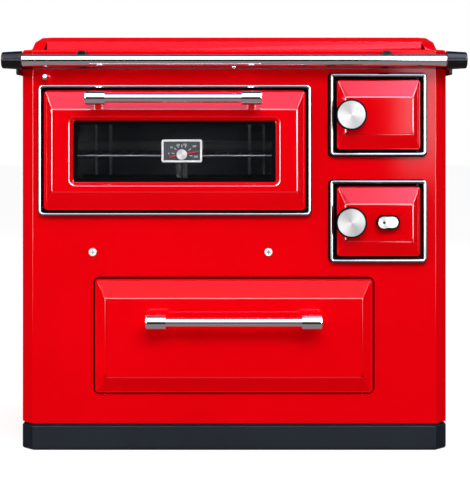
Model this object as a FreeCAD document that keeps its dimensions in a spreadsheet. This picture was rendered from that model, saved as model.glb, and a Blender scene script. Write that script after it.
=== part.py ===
"""A solid fuel cooking range: cabinet, hob with lid, oven, firebox, ash box and wood drawer.

X runs to the right, -Y is the front and +Z is up. The origin is under the middle of the
plinth, on the floor. All lengths are in millimetres.
"""
import FreeCAD, Part
import math
import os
import re

import Sketcher

Vector = FreeCAD.Vector

# Driving sizes: the name of the cell, its value and what it measures
SIZES = [
    ("body_width", 904, "outside width of the cabinet"),
    ("body_depth", 600, "outside depth of the cabinet"),
    ("hob_height", 850, "top of the hob frame above the floor"),
    ("corner_chamfer", 24, "flat on each upright front corner"),
    ("panel_sheet", 2, "thickness of the enamelled panels"),
    ("bend_radius", 5, "outer bend of the front panel"),
    ("plinth_height", 52, "height of the plinth"),
    ("plinth_sheet", 2, "thickness of the plinth sheet"),
    ("plinth_round", 6, "rounding of the plinth's lower edge"),
    ("plinth_lip", 2, "rounding of the plinth's upper edge"),
    ("plinth_flange", 14, "width of the plinth's upper flange"),
    ("plinth_gap", 6, "height of the dark gap above the plinth"),
    ("gap_depth", 8, "how far the dark gap is set back"),
    ("base_lip", 8, "height of the base inside the panels"),
    ("base_sheet", 2, "thickness of the base"),
    ("frame_height", 38, "height of the hob frame"),
    ("frame_gap", 3, "gap between the panels and the hob frame"),
    ("frame_round", 5, "rounding of the hob frame's edges"),
    ("frame_side", 36, "width of the hob frame's side bars"),
    ("frame_front", 58, "width of the hob frame's front bar"),
    ("frame_rear", 34, "width of the hob frame's rear bar"),
    ("ring_width", 22, "width of the angle ring under the hob frame"),
    ("ring_height", 12, "height of the angle ring below the gap"),
    ("hob_plate_depth", 9, "thickness of the cast hob plate"),
    ("hob_plate_drop", 2, "how far the hob plate lies below the frame"),
    ("plate_clearance", 1.5, "gap round the hob plate"),
    ("ledge_width", 12, "ledge that carries the hob plate"),
    ("cover_radius", 110, "radius of the lift-out hob cover"),
    ("cover_clearance", 0.4, "gap round the lift-out cover"),
    ("cover_depth", 5, "depth of the cover's seat"),
    ("cover_rest", 6, "width of the cover's seat"),
    ("cover_inset", 237, "hob cover's centre in from the cabinet's side"),
    ("cover_center_y", -20, "hob cover centre behind the middle"),
    ("cover_slot", 12, "width of the lifting slot in the cover"),
    ("seat_gap", 0.3, "gap between pieces that only rest together"),
    ("pin_radius", 2.5, "radius of a hinge pin"),
    ("pin_clearance", 0.06, "running clearance of a hinge pin in its trim"),
    ("pin_fit", 0.01, "clearance of a hinge pin in its door"),
    ("overrun", 2, "how far a cutter passes the metal"),
    # Doors
    ("door_gap", 4, "gap between a closed door and the panel"),
    ("door_edge", 10, "thickness of a door's edge"),
    ("face_rise", 16, "how far a door's face stands off its edge"),
    ("door_wall", 2, "thickness of a pressed door"),
    ("mitre_round", 3, "rounding of a door's mitred corners"),
    ("hinge_inset", 6, "hinge axis in from a door's edge"),
    ("opening_inset", 24, "opening in the panel, in from the door's edge"),
    ("trim_gap", 4.5, "gap between a door and its trim"),
    ("trim_width", 7, "width of a door trim"),
    ("trim_round", 1.6, "rounding of a trim's front edges"),
    ("oven_trim_corner", 10.5, "corner radius of the oven door's trim"),
    ("seal_width", 8, "width of a rope seal"),
    ("seal_inset", 14.5, "rope seal in from the door's edge"),
    ("seal_round", 1.6, "rounding of a rope seal"),
    ("liner_sheet", 2, "thickness of a door liner"),
    ("oven_side_gap", 49.5, "panel left of the oven door"),
    ("door_post", 64, "panel between the oven door and the fire door"),
    ("oven_door_height", 254.4, "height of the oven door"),
    ("oven_top_gap", 45.3, "panel above the oven door"),
    ("oven_corner", 10, "corner radius of the oven door"),
    ("oven_bevel_side", 19, "width of the oven door's side bevels"),
    ("oven_bevel_top", 41.5, "width of the oven door's upper bevel"),
    ("oven_bevel_foot", 40, "width of the oven door's lower bevel"),
    ("window_side", 37, "window recess in from the face's sides"),
    ("window_top", 15, "window recess below the face's top"),
    ("window_foot", 12.6, "window recess above the face's bottom"),
    ("window_slope", 8, "width of the sloping rim of the window"),
    ("window_sink", 8, "depth of the window recess"),
    ("window_round", 13, "corner radius of the window recess"),
    ("glass_round", 4, "corner radius of the window's glass opening"),
    ("glass_lap", 9, "how far the glass laps behind the rim"),
    ("glass_sheet", 4, "thickness of the window glass"),
    ("fire_side_gap", 58.5, "panel right of the fire door"),
    ("fire_door_width", 178, "width of the fire and ash doors"),
    ("fire_door_height", 148.4, "height of the fire and ash doors"),
    ("fire_top_gap", 23.3, "panel above the fire door"),
    ("fire_foot_gap", 76.5, "panel between the fire door and the ash door"),
    ("fire_corner", 7.5, "corner radius of the fire and ash doors"),
    ("fire_bevel_side", 17.5, "width of the fire door's side bevels"),
    ("fire_bevel_top", 37.5, "width of the fire door's upper bevel"),
    ("fire_bevel_foot", 33, "width of the fire door's lower bevel"),
    ("fire_trim_gap", 5.5, "gap between the fire door and its trim"),
    ("fire_trim_width", 8, "width of the fire door's trim"),
    ("fire_trim_corner", 8.5, "corner radius of the fire door's trim"),
    # Knobs and handles
    ("knob_radius", 32.5, "radius of a door knob"),
    ("knob_disc_radius", 29.5, "radius of the knob's metal face"),
    ("knob_depth", 13, "thickness of a door knob"),
    ("knob_neck", 13, "length of a door knob's neck"),
    ("knob_neck_radius", 11, "radius of a door knob's neck"),
    ("knob_round", 1.6, "rounding of a door knob's rim"),
    ("knob_disc_depth", 1.5, "thickness of the knob's metal face"),
    ("knob_disc_proud", 0.4, "how far the metal face stands out"),
    ("knob_offset", -60.5, "knob centre to the right of the door's middle"),
    ("handle_length", 366, "length of a bar handle over its caps"),
    ("handle_radius", 9.7, "radius of a bar handle"),
    ("handle_reach", 50, "bar handle's axis in front of the door's face"),
    ("handle_cap_radius", 15.5, "radius of the drawer handle's end caps"),
    ("oven_cap_radius", 14, "radius of the oven handle's end caps"),
    ("handle_cap_length", 42, "length of a handle's end cap"),
    ("handle_cap_grip", 22, "how far the bar enters its end cap"),
    ("handle_cap_round", 3, "rounding of a handle's end cap"),
    ("handle_post_radius", 9, "radius of a handle's post"),
    ("oven_handle_drop", 17.8, "oven handle below the top of its door"),
    ("drawer_handle_share", 0.7443, "drawer handle's height as a share of the drawer's face"),
    # Towel rail
    ("rail_radius", 12.5, "radius of the towel rail"),
    ("rail_inset", 9, "rail's inner end in from the cabinet's side"),
    ("rail_reach", 45, "rail axis in front of the cabinet"),
    ("rail_drop", 25, "rail's axis below the top of the hob frame"),
    ("cap_radius", 19.3, "radius of a rail cap"),
    ("cap_end_radius", 17, "radius of a rail cap at its outer end"),
    ("cap_length", 42, "length of a rail cap"),
    ("cap_grip", 26, "how far the rail enters its cap"),
    ("cap_round", 3.5, "rounding of a rail cap"),
    ("arm_width", 6, "thickness of a rail cap's arm"),
    ("arm_height", 35, "height of a rail cap's arm"),
    ("arm_drop", 23.2, "how far the arm hangs below the rail's axis"),
    ("arm_length", 92, "length of a rail cap's arm"),
    ("arm_round", 4, "rounding of a rail cap's arm"),
    ("arm_edge", 3, "rounding of an arm's outer edges"),
    ("post_inset", 132.3, "rail post in from the cabinet's side"),
    ("post_width", 19.6, "width of a rail post"),
    ("post_height", 33, "height of a rail post"),
    ("post_round", 4, "rounding of a rail post"),
    ("post_drop", 4.5, "top of a rail post below the hob frame's top"),
]

SIZES += [
    # Lid
    ("lid_inset", 9, "lid's lower edge in from the cabinet's side"),
    ("lid_corner_inset", 38, "lid's front flange in from its side"),
    ("lid_set_back", 58, "lid's front edge behind the cabinet's front"),
    ("lid_rear_gap", 34, "lid's rear edge in front of the cabinet's back"),
    ("lid_flange", 20, "height of the lid's flange"),
    ("lid_rise", 10, "height of the lid's bevel above its flange"),
    ("lid_lean", 8, "how far the flange leans out at its foot"),
    ("lid_bevel", 15, "width of the lid's bevel"),
    ("lid_facet", 28, "depth of the lid's corner facets"),
    ("lid_notch", 9.7, "width of the slit at each front corner of the lid"),
    ("lid_sheet", 1.5, "thickness of the lid"),
    ("lid_gap", 0.3, "gap between the closed lid and the hob frame"),
    ("lid_axis_height", 10, "lid hinge axis above the hob frame"),
    ("lid_axis_back", 9, "lid hinge axis behind the lid"),
    ("lid_hinge_inset", 141, "lid hinge in from the lid's side"),
    ("lid_pin_radius", 3, "radius of a lid hinge's pin"),
    ("lid_leaf_rise", 5, "half height of a leaf on the lid"),
    ("lid_knuckle_radius", 7, "radius of a lid hinge's knuckle"),
    ("lid_knuckle_width", 16, "width of a lid hinge's knuckle"),
    ("lid_leaf_width", 10, "width of each leaf on the lid"),
    ("lid_leaf_gap", 0.4, "side gap between a leaf and a knuckle"),
    # Oven
    ("oven_sheet", 2, "thickness of the oven box"),
    ("oven_rear_gap", 160, "room behind the oven box"),
    ("oven_margin", 8, "oven box outside the opening in the panel"),
    ("oven_rib", 3, "how far the oven's pressed ribs stand in"),
    ("oven_rib_height", 8, "height of a pressed rib"),
    ("oven_ribs", 4, "number of pressed ribs in the oven's back"),
    ("support_wire", 3, "radius of the rack support wire"),
    ("support_levels", 3, "number of rack levels"),
    ("support_pitch", 52, "height between rack levels"),
    ("support_first", 40, "lowest rack level above the oven floor"),
    ("support_reach", 10, "support wire in from the oven's side"),
    ("support_ends", 26, "support wire in from the front and back of the oven"),
    ("rack_wire", 2.2, "radius of the rack's wires"),
    ("rack_rim", 3.4, "radius of the rack's rim"),
    ("rack_wires", 17, "number of wires across the rack"),
    ("tray_depth", 28, "height of the baking tray"),
    ("tray_sheet", 1.5, "thickness of the baking tray"),
    ("tray_rim", 9, "width of the tray's rim"),
    # Thermometer
    ("gauge_offset", 14.7, "thermometer right of the oven door's middle"),
    ("gauge_low", 1.6, "thermometer below the oven door's middle"),
    ("gauge_width", 86, "width of the thermometer"),
    ("gauge_tall", 48.5, "height of the thermometer"),
    ("gauge_rim", 4.5, "width of the thermometer's rim"),
    ("gauge_depth", 5, "depth of the thermometer"),
    ("gauge_sheet", 1.2, "wall of the thermometer's back"),
    ("gauge_corner", 5, "corner radius of the thermometer"),
    ("gauge_round", 1.1, "rounding of the thermometer's rim"),
    ("gauge_drop", 7.3, "needle pivot below the thermometer's centre"),
    ("gauge_stand", 1.5, "thermometer's back in front of the door liner's back"),
    ("dial_sheet", 1, "thickness of the dial"),
    ("needle_long", 35.5, "long arm of the needle"),
    ("needle_short", 26, "short arm of the needle"),
    ("needle_width", 2.6, "width of the needle"),
    ("needle_sheet", 0.8, "thickness of the needle"),
    ("needle_tilt_long", 11, "long arm above level, in degrees"),
    ("needle_tilt_short", 10, "short arm below level, in degrees"),
    ("hub_radius", 11, "radius of the needle's hub"),
    ("hub_depth", 3, "thickness of the needle's hub"),
    ("spindle_radius", 1.5, "radius of the needle's spindle"),
    ("leg_width", 10.5, "width of a thermometer leg"),
    ("leg_spread", 14.5, "distance between the legs' middles"),
    # Firebox
    ("brick_rear_gap", 300, "room behind the back firebrick's face"),
    ("firebox_sheet", 4, "thickness of the firebox shell"),
    ("firebox_side", 22, "firebox outside the fire door's opening"),
    ("grate_drop", 37.3, "underside of the grate below the fire door"),
    ("grate_depth", 18, "thickness of the grate"),
    ("grate_gap", 3, "gap round the grate"),
    ("grate_bar", 12, "width of a bar of the grate"),
    ("grate_slot", 10, "width of a slot of the grate"),
    ("grate_slots", 8, "number of slots in the grate"),
    ("ledge_reach", 14, "width of the grate's ledges"),
    ("ledge_depth", 8, "thickness of the grate's ledges"),
    ("brick_depth", 24, "thickness of a firebrick"),
    ("brick_top", 22, "firebricks' top below the firebox shell's top"),
    ("brick_joint", 0.5, "joint between firebricks"),
    ("ash_pan_gap", 4, "gap at each side of the ash pan"),
    ("ash_pan_height", 62, "height of the ash pan"),
    ("ash_pan_sheet", 1.5, "thickness of the ash pan"),
    ("pan_rear_gap", 220, "room behind the ash pan"),
    ("ash_grip_width", 60, "width of the ash pan's grip"),
    ("ash_grip_reach", 10, "how far the ash pan's grip stands out"),
    # Flue and damper
    ("flue_radius", 60, "outside radius of the flue collar"),
    ("flue_sheet", 3, "thickness of the flue collar"),
    ("flue_drop", 90, "flue centre below the hob frame"),
    ("flue_reach", 45, "flue collar behind the back panel"),
    ("flue_flange", 16, "width of the flue collar's flange"),
    ("flue_flange_sheet", 4, "thickness of the flue collar's flange"),
    ("damper_inset", 53.2, "damper rod in from the cabinet's side"),
    ("damper_drop", 18, "damper rod below the front panel's top"),
    ("damper_radius", 3, "radius of the damper rod"),
    ("damper_clearance", 0.3, "gap round the damper rod"),
    ("damper_rear_gap", 130, "room behind the damper rod"),
    ("damper_knob_radius", 6.6, "radius of the damper's ball"),
    ("damper_knob_reach", 20, "damper's ball in front of the panel"),
    ("damper_lug", 12, "thickness of a lug that guides the rod"),
    ("damper_lug_width", 28, "width of a lug that guides the rod"),
    ("damper_lug_wall", 6, "wall of a lug round the rod"),
    ("damper_lug_pitch", 210, "distance between the lugs"),
    ("damper_plate_width", 60, "width of the damper plate"),
    ("damper_sheet", 3, "thickness of the damper plate"),
    # Air regulator on the ash door
    ("air_center", 17.3, "air regulator, right of the ash door's middle"),
    ("air_width", 49, "width of the regulator body"),
    ("air_tall", 30, "height of the regulator body"),
    ("air_reach", 16, "depth of the regulator body"),
    ("air_wall", 3.2, "rim of the regulator body"),
    ("air_travel", 17, "travel of the air slider"),
    ("air_knob_radius", 12.3, "radius of the slider's knob"),
    ("air_knob_reach", 9, "how far the slider's knob stands out"),
    ("air_dot_radius", 3.2, "radius of the recess in the slider's knob"),
    ("air_dot_sink", 1.5, "depth of the recess in the slider's knob"),
    ("air_slider_depth", 2, "thickness of the regulator's face plate"),
    ("air_plate_sink", 1, "face plate below the regulator body's rim"),
    ("air_stem", 1.5, "radius of the slider's stem"),
    # Wood drawer
    ("drawer_center", -0.8, "middle of the drawer"),
    ("drawer_side_gap", 157, "panel at each side of the drawer"),
    ("drawer_top_gap", 46.9, "panel between the ash door and the top of the drawer"),
    ("drawer_foot_gap", 64.5, "panel below the drawer's front"),
    ("drawer_corner", 11, "corner radius of the drawer's front"),
    ("drawer_gap", 3, "gap round the drawer's front"),
    ("drawer_proud", 4, "how far the drawer's edge stands out"),
    ("drawer_edge", 10, "thickness of the drawer front's edge"),
    ("drawer_bevel_side", 23.5, "width of the drawer's side bevels"),
    ("drawer_bevel_top", 41.5, "width of the drawer's upper bevel"),
    ("drawer_bevel_foot", 35.3, "width of the drawer's lower bevel"),
    ("drawer_box_side", 24, "drawer box in from the front's sides"),
    ("drawer_box_top", 30, "drawer box below the front's top"),
    ("drawer_box_foot", 12, "drawer box above the front's bottom"),
    ("drawer_rear_gap", 100, "room behind the drawer box"),
    ("drawer_sheet", 1.5, "thickness of the drawer box"),
    ("runner_sheet", 2, "thickness of a drawer runner"),
    ("runner_ledge", 20, "width of the ledge under the drawer"),
    ("runner_side_gap", 1.5, "side gap between the drawer and a runner"),
    ("runner_rise", 40, "height of a runner above its ledge"),
    ("runner_foot", 30, "width of a runner's foot"),
    ("runner_start", 12, "runner behind the front panel"),
    # Screws
    ("screw_radius", 8.8, "radius of a panel screw's head"),
    ("screw_head", 3.2, "thickness of a panel screw's head"),
    ("screw_shank", 3, "radius of a panel screw's shank"),
    ("screw_length", 12, "length of a panel screw's shank"),
    ("screw_round", 1.2, "rounding of a screw's head"),
    ("screw_slot", 1.6, "width of a screw's cross slot"),
    ("screw_slot_depth", 1.6, "depth of a screw's cross slot"),
    ("screw_rise", 54.9, "panel screws above the drawer's front"),
    ("screw_left", -299.7, "left panel screw, right of the middle"),
    ("screw_right", 72.4, "right panel screw, right of the middle"),
]

# Places and sizes that follow the driving ones: the name of the cell, its formula and what it means
FOLLOWING = [
    (
        "fire_center",
        "body_width / 2 - fire_side_gap - fire_door_width / 2",
        "middle of the fire and ash doors",
    ),
    (
        "oven_door_width",
        "fire_center - fire_door_width / 2 - door_post - oven_side_gap + body_width / 2",
        "width of the oven door",
    ),
    (
        "oven_center",
        "oven_side_gap - body_width / 2 + oven_door_width / 2",
        "middle of the oven door, right of the cabinet's middle",
    ),
    (
        "oven_door_bottom",
        "hob_height - frame_height - frame_gap - oven_top_gap - oven_door_height",
        "bottom of the oven door above the floor",
    ),
    (
        "fire_door_bottom",
        "hob_height - frame_height - frame_gap - fire_top_gap - fire_door_height",
        "bottom of the fire door",
    ),
    ("ash_door_bottom", "fire_door_bottom - fire_foot_gap - fire_door_height", "bottom of the ash door"),
    ("drawer_bottom", "plinth_height + plinth_gap + drawer_foot_gap", "bottom of the drawer's front"),
    ("drawer_tall", "ash_door_bottom - drawer_top_gap - drawer_bottom", "height of the drawer's front"),
    ("drawer_width", "body_width - drawer_side_gap * 2", "width of the drawer's front"),
    ("drawer_box_depth", "body_depth - drawer_rear_gap", "depth of the drawer box"),
    (
        "drawer_handle_height",
        "drawer_bottom + drawer_bevel_foot"
        " + (drawer_tall - drawer_bevel_foot - drawer_bevel_top) * drawer_handle_share",
        "height of the drawer handle",
    ),
    (
        "oven_handle_height",
        "oven_door_bottom + oven_door_height - oven_handle_drop",
        "height of the oven handle",
    ),
    ("rail_half", "body_width / 2 - rail_inset", "half of the rail between its end caps"),
    ("rail_height", "hob_height - rail_drop", "height of the rail's axis"),
    ("post_center", "body_width / 2 - post_inset", "rail post from the cabinet's middle"),
    ("cover_center_x", "body_width / 2 - cover_inset", "hob cover centre to the right of the middle"),
    ("lid_half", "body_width / 2 - lid_inset", "half width of the lid's lower edge"),
    ("lid_front_half", "lid_half - lid_corner_inset", "half width of the lid's front flange"),
    ("lid_hinge_center", "lid_half - lid_hinge_inset", "lid hinge from the cabinet's middle"),
    ("gauge_center", "oven_center + gauge_offset", "thermometer centre, right of the cabinet's middle"),
    (
        "gauge_height",
        "oven_door_bottom + oven_door_height / 2 - gauge_low",
        "thermometer centre above the floor",
    ),
    ("oven_depth", "body_depth - oven_rear_gap", "depth of the oven box"),
    ("grate_height", "fire_door_bottom - grate_drop", "underside of the grate"),
    ("back_brick", "body_depth - brick_rear_gap", "back firebrick behind the firebox's front"),
    ("ash_pan_depth", "body_depth - pan_rear_gap", "depth of the ash pan"),
    ("flue_height", "hob_height - frame_height - flue_drop", "flue centre above the floor"),
    ("flue_center_x", "fire_center", "flue centre, right of the cabinet's middle"),
    ("damper_center", "damper_inset - body_width / 2", "damper rod, right of the cabinet's middle"),
    ("damper_height", "hob_height - frame_height - frame_gap - damper_drop", "damper rod above the floor"),
    ("damper_length", "body_depth - damper_rear_gap", "damper rod behind the front panel"),
    ("screw_height", "drawer_bottom + drawer_tall + screw_rise", "panel screws above the floor"),
]

NAMES = {name for name, _, _ in SIZES + FOLLOWING}


def tied(text):
    """Returns an expression with each size named on its sheet."""
    def on_sheet(match):
        word = match.group(0)
        return "sizes." + word if word in NAMES else word
    return re.sub(r"[a-z][a-z_]*", on_sheet, text)


doc = FreeCAD.newDocument("cooking_stove")
sheet = doc.addObject("Spreadsheet::Sheet", "sizes")
for row, (name, size, note) in enumerate(SIZES + FOLLOWING, start=1):
    sheet.set(f"A{row}", name)
    sheet.set(f"B{row}", f"={size}")
    sheet.setAlias(f"B{row}", name)
    sheet.set(f"C{row}", note)
doc.recompute()


def number(text):
    """Returns what an expression comes to on the sheet."""
    return float(sheet.evalExpression(tied(text)))


def tie(item, **texts):
    """Binds properties of an item to expressions on the sheet."""
    for name, text in texts.items():
        item.setExpression(name, tied(text))


def place(item, x, y, z):
    """Binds an item's place to the sheet."""
    for axis, text in zip("xyz", (x, y, z)):
        item.setExpression(f"Placement.Base.{axis}", tied(text))


# Places worked out from the sizes, as expressions
FRONT = "(-body_depth / 2)"
BACK = "(body_depth / 2)"
SIDE = "(body_width / 2)"
PANEL_FOOT = "(plinth_height + plinth_gap)"
FRAME_FOOT = "(hob_height - frame_height)"
PANEL_TOP = "(hob_height - frame_height - frame_gap)"
DOOR_BACK = f"({FRONT} - door_gap)"
EDGE_FACE = f"({FRONT} - door_gap - door_edge)"
DOOR_FACE = f"({FRONT} - door_gap - door_edge - face_rise)"

# Primitives


def block(name, x0, x1, y0, y1, z0, z1):
    """Makes a block between two planes each way."""
    item = doc.addObject("Part::Box", name)
    tie(item, Length=f"{x1} - ({x0})", Width=f"{y1} - ({y0})", Height=f"{z1} - ({z0})")
    place(item, x0, y0, z0)
    return item


TURNS = {
    "x": FreeCAD.Rotation(Vector(0, 1, 0), 90),
    "y": FreeCAD.Rotation(Vector(1, 0, 0), -90),
    "z": FreeCAD.Rotation(),
}


def rod(name, axis, radius, x, y, z, length):
    """Makes a round bar that starts at a place and runs along one axis."""
    item = doc.addObject("Part::Cylinder", name)
    item.Placement = FreeCAD.Placement(Vector(), TURNS[axis])
    tie(item, Radius=radius, Height=length)
    place(item, x, y, z)
    return item


def cut(name, base, tool):
    """Takes one shape out of another."""
    item = doc.addObject("Part::Cut", name)
    item.Base = base
    item.Tool = tool
    return item


def fuse(name, items):
    """Joins shapes into one."""
    item = doc.addObject("Part::MultiFuse", name)
    item.Shapes = items
    item.Refine = True
    return item


def group(name, items):
    """Keeps like pieces together under one name, each still its own solid."""
    item = doc.addObject("Part::Compound", name)
    item.Links = items
    return item

# Sketched bodies


def make_body(name):
    """Makes an empty body that takes sketched features."""
    body = doc.addObject("PartDesign::Body", name)
    body.Label = name
    return body


def draw(body, role, offset, outlines, axis_line=None):
    """Draws closed outlines whose corners are bound to the sheet.

    An outline is a list of corners, or ("circle", across, up, radius). An axis line is two
    corners, and is drawn as construction.
    """
    sketch = body.newObject("Sketcher::SketchObject", body.Name + "_sketch")
    plane = next(item for item in body.Origin.OriginFeatures if item.Role == role)
    sketch.AttachmentSupport = [(plane, "")]
    sketch.MapMode = "FlatFace"
    sketch.setExpression(".AttachmentOffset.Base.z", tied(offset))
    shapes = []
    limits = []
    bonds = {}

    def fix(kind, line, end, text):
        bonds[len(limits)] = text
        limits.append(Sketcher.Constraint(kind, line, end, number(text)))

    for outline in outlines:
        if outline[0] == "circle":
            _, across, up, radius = outline
            line = len(shapes)
            shapes.append(Part.Circle(Vector(number(across), number(up), 0), Vector(0, 0, 1), number(radius)))
            fix("DistanceX", line, 3, across)
            fix("DistanceY", line, 3, up)
            bonds[len(limits)] = radius
            limits.append(Sketcher.Constraint("Radius", line, number(radius)))
            continue
        corners = [Vector(number(across), number(up), 0) for across, up in outline]
        first = len(shapes)
        count = len(corners)
        for step in range(count):
            shapes.append(Part.LineSegment(corners[step], corners[(step + 1) % count]))
        for step in range(count):
            limits.append(Sketcher.Constraint("Coincident", first + step, 2, first + (step + 1) % count, 1))
        for step, (across, up) in enumerate(outline):
            fix("DistanceX", first + step, 1, across)
            fix("DistanceY", first + step, 1, up)
    sketch.addGeometry(shapes, False)
    if axis_line:
        (across, up), (across_end, up_end) = axis_line
        line = len(shapes)
        start = Vector(number(across), number(up), 0)
        end = Vector(number(across_end), number(up_end), 0)
        sketch.addGeometry(Part.LineSegment(start, end), True)
        fix("DistanceX", line, 1, across)
        fix("DistanceY", line, 1, up)
        fix("DistanceX", line, 2, across_end)
        fix("DistanceY", line, 2, up_end)
    sketch.addConstraint(limits)
    for index, text in bonds.items():
        sketch.setExpression(f"Constraints[{index}]", tied(text))
    return sketch


def rectangle(x0, x1, y0, y1):
    """Returns the four corners of a rectangle."""
    return [(x0, y0), (x1, y0), (x1, y1), (x0, y1)]


def pad(body, role, low, high, *outlines):
    """Adds the area in the outlines between two planes square to the sketch."""
    start = f"-({high})" if role == "XZ_Plane" else low
    feature = body.newObject("PartDesign::Pad", body.Name + "_pad")
    feature.Profile = draw(body, role, start, outlines)
    tie(feature, Length=f"{high} - ({low})")
    return feature


def pocket(body, role, low, high, *outlines):
    """Cuts the area in the outlines between two planes square to the sketch."""
    start = f"-({low})" if role == "XZ_Plane" else high
    feature = body.newObject("PartDesign::Pocket", body.Name + "_pocket")
    feature.Profile = draw(body, role, start, outlines)
    tie(feature, Length=f"{high} - ({low})")
    return feature


def loft(body, kind, role, stations):
    """Adds or cuts a straight-sided loft through outlines at their own planes."""
    sign = "-" if role == "XZ_Plane" else ""
    sketches = [draw(body, role, f"{sign}({at})", [outline]) for at, outline in stations]
    feature = body.newObject("PartDesign::" + kind, body.Name + "_loft")
    feature.Profile = sketches[0]
    feature.Sections = sketches[1:]
    feature.Ruled = True
    return feature


def turned(name, axis, x, y, z, profile):
    """Makes a piece turned about y or x: a profile corner is (place along the axis, radius)."""
    body = make_body(name)
    if axis == "y":
        corners = [(f"{x} + {radius}", f"{y} + {along}") for along, radius in profile]
        line = ((x, f"{y} + {profile[0][0]}"), (x, f"{y} + {profile[-1][0]}"))
        sketch = draw(body, "XY_Plane", z, [corners], line)
    else:
        corners = [(f"{x} + {along}", f"{y} + {radius}") for along, radius in profile]
        line = ((f"{x} + {profile[0][0]}", y), (f"{x} + {profile[-1][0]}", y))
        sketch = draw(body, "XY_Plane", z, [corners], line)
    feature = body.newObject("PartDesign::Revolution", name + "_turn")
    feature.Profile = sketch
    feature.ReferenceAxis = (sketch, ["Axis0"])
    feature.Angle = 360
    return body


def spans(edge, axis):
    """Returns an edge's lowest and highest place along an axis."""
    box = edge.BoundBox
    reach = {"x": (box.XMin, box.XMax), "y": (box.YMin, box.YMax), "z": (box.ZMin, box.ZMax)}
    return reach[axis]


NEAR = 1e-3


def in_plane(axis, text):
    """Picks edges that lie in a plane."""
    def picks(edge):
        low, high = spans(edge, axis)
        return abs(low - number(text)) < NEAR and abs(high - number(text)) < NEAR
    return picks


def along(axis, *tests):
    """Picks edges that run along an axis and meet the other tests."""
    others = [name for name in "xyz" if name != axis]

    def picks(edge):
        low, high = spans(edge, axis)
        if high - low < NEAR:
            return False
        if any(spans(edge, name)[1] - spans(edge, name)[0] > NEAR for name in others):
            return False
        return all(test(edge) for test in tests)
    return picks


def slanting(low_text, high_text):
    """Picks straight edges that run slantwise from one depth to another."""
    def picks(edge):
        low, high = spans(edge, "y")
        if abs(low - number(low_text)) > NEAR or abs(high - number(high_text)) > NEAR:
            return False
        return all(spans(edge, name)[1] - spans(edge, name)[0] > NEAR for name in "xz")
    return picks


def round_edges(body, radius, picks, kind="Fillet"):
    """Rounds or bevels the picked edges of a body's last feature."""
    doc.recompute()
    tip = body.Tip
    names = [f"Edge{index}" for index, edge in enumerate(tip.Shape.Edges, start=1) if picks(edge)]
    if not names:
        raise ValueError(body.Name + ": no edge to round")
    feature = body.newObject("PartDesign::" + kind, body.Name + "_" + kind.lower())
    feature.Base = (tip, names)
    tie(feature, **{"Radius" if kind == "Fillet" else "Size": radius})
    return feature


# Cabinet

# A chamfer at 45 degrees loses this share of the inset when its outline is drawn in
CHAMFER_LOSS_SHARE = 2 - math.sqrt(2)


def cabinet_plan(inset):
    """Returns the cabinet's plan, drawn in from the outside by an inset."""
    side = f"({SIDE} - {inset})"
    front = f"({FRONT} + {inset})"
    back = f"({BACK} - {inset})"
    start = f"(corner_chamfer - {inset} * {CHAMFER_LOSS_SHARE})"
    return [
        (f"-({side} - {start})", front),
        (f"{side} - {start}", front),
        (side, f"{front} + {start}"),
        (side, back),
        (f"-{side}", back),
        (f"-{side}", f"{front} + {start}"),
    ]


def make_plinth():
    """Makes the plinth: a closed tray with an upper flange, which stands on the floor."""
    body = make_body("plinth")
    pad(body, "XY_Plane", "0", "plinth_height", cabinet_plan("0"))
    round_edges(body, "plinth_round", in_plane("z", "0"))
    round_edges(body, "plinth_lip", in_plane("z", "plinth_height"))
    wall = "(plinth_round / 2 + plinth_sheet)"
    pocket(body, "XY_Plane", "plinth_sheet", "plinth_height + overrun", cabinet_plan(wall))
    flange_foot = "plinth_height - plinth_sheet"
    outer = cabinet_plan("(plinth_lip + plinth_sheet / 2)")
    pad(body, "XY_Plane", flange_foot, "plinth_height", outer, cabinet_plan("plinth_flange"))
    return body


def make_base_plate():
    """Makes the base: a ring that leaves the dark gap, a plate and a lip inside the panels."""
    body = make_body("base_plate")
    pad(body, "XY_Plane", PANEL_FOOT, f"{PANEL_FOOT} + base_sheet", cabinet_plan("panel_sheet"))
    ring_inner = cabinet_plan("(gap_depth + base_sheet)")
    pad(body, "XY_Plane", "plinth_height", PANEL_FOOT, cabinet_plan("gap_depth"), ring_inner)
    lip_inner = cabinet_plan("(panel_sheet + base_sheet)")
    lip_foot = f"{PANEL_FOOT} + base_sheet"
    pad(body, "XY_Plane", lip_foot, f"{PANEL_FOOT} + base_lip", cabinet_plan("panel_sheet"), lip_inner)
    return body


def door_outline(x, foot, width, tall, inset="0"):
    """Returns a door's rectangle in the front plane, drawn in by an inset."""
    half = f"({width} / 2 - ({inset}))"
    return rectangle(f"{x} - {half}", f"{x} + {half}", f"{foot} + {inset}", f"{foot} + {tall} - ({inset})")


OVEN = ("oven_center", "oven_door_bottom", "oven_door_width", "oven_door_height")
FIRE = ("fire_center", "fire_door_bottom", "fire_door_width", "fire_door_height")
ASH = ("fire_center", "ash_door_bottom", "fire_door_width", "fire_door_height")
DRAWER = ("drawer_center", "drawer_bottom", "drawer_width", "drawer_tall")


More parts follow.
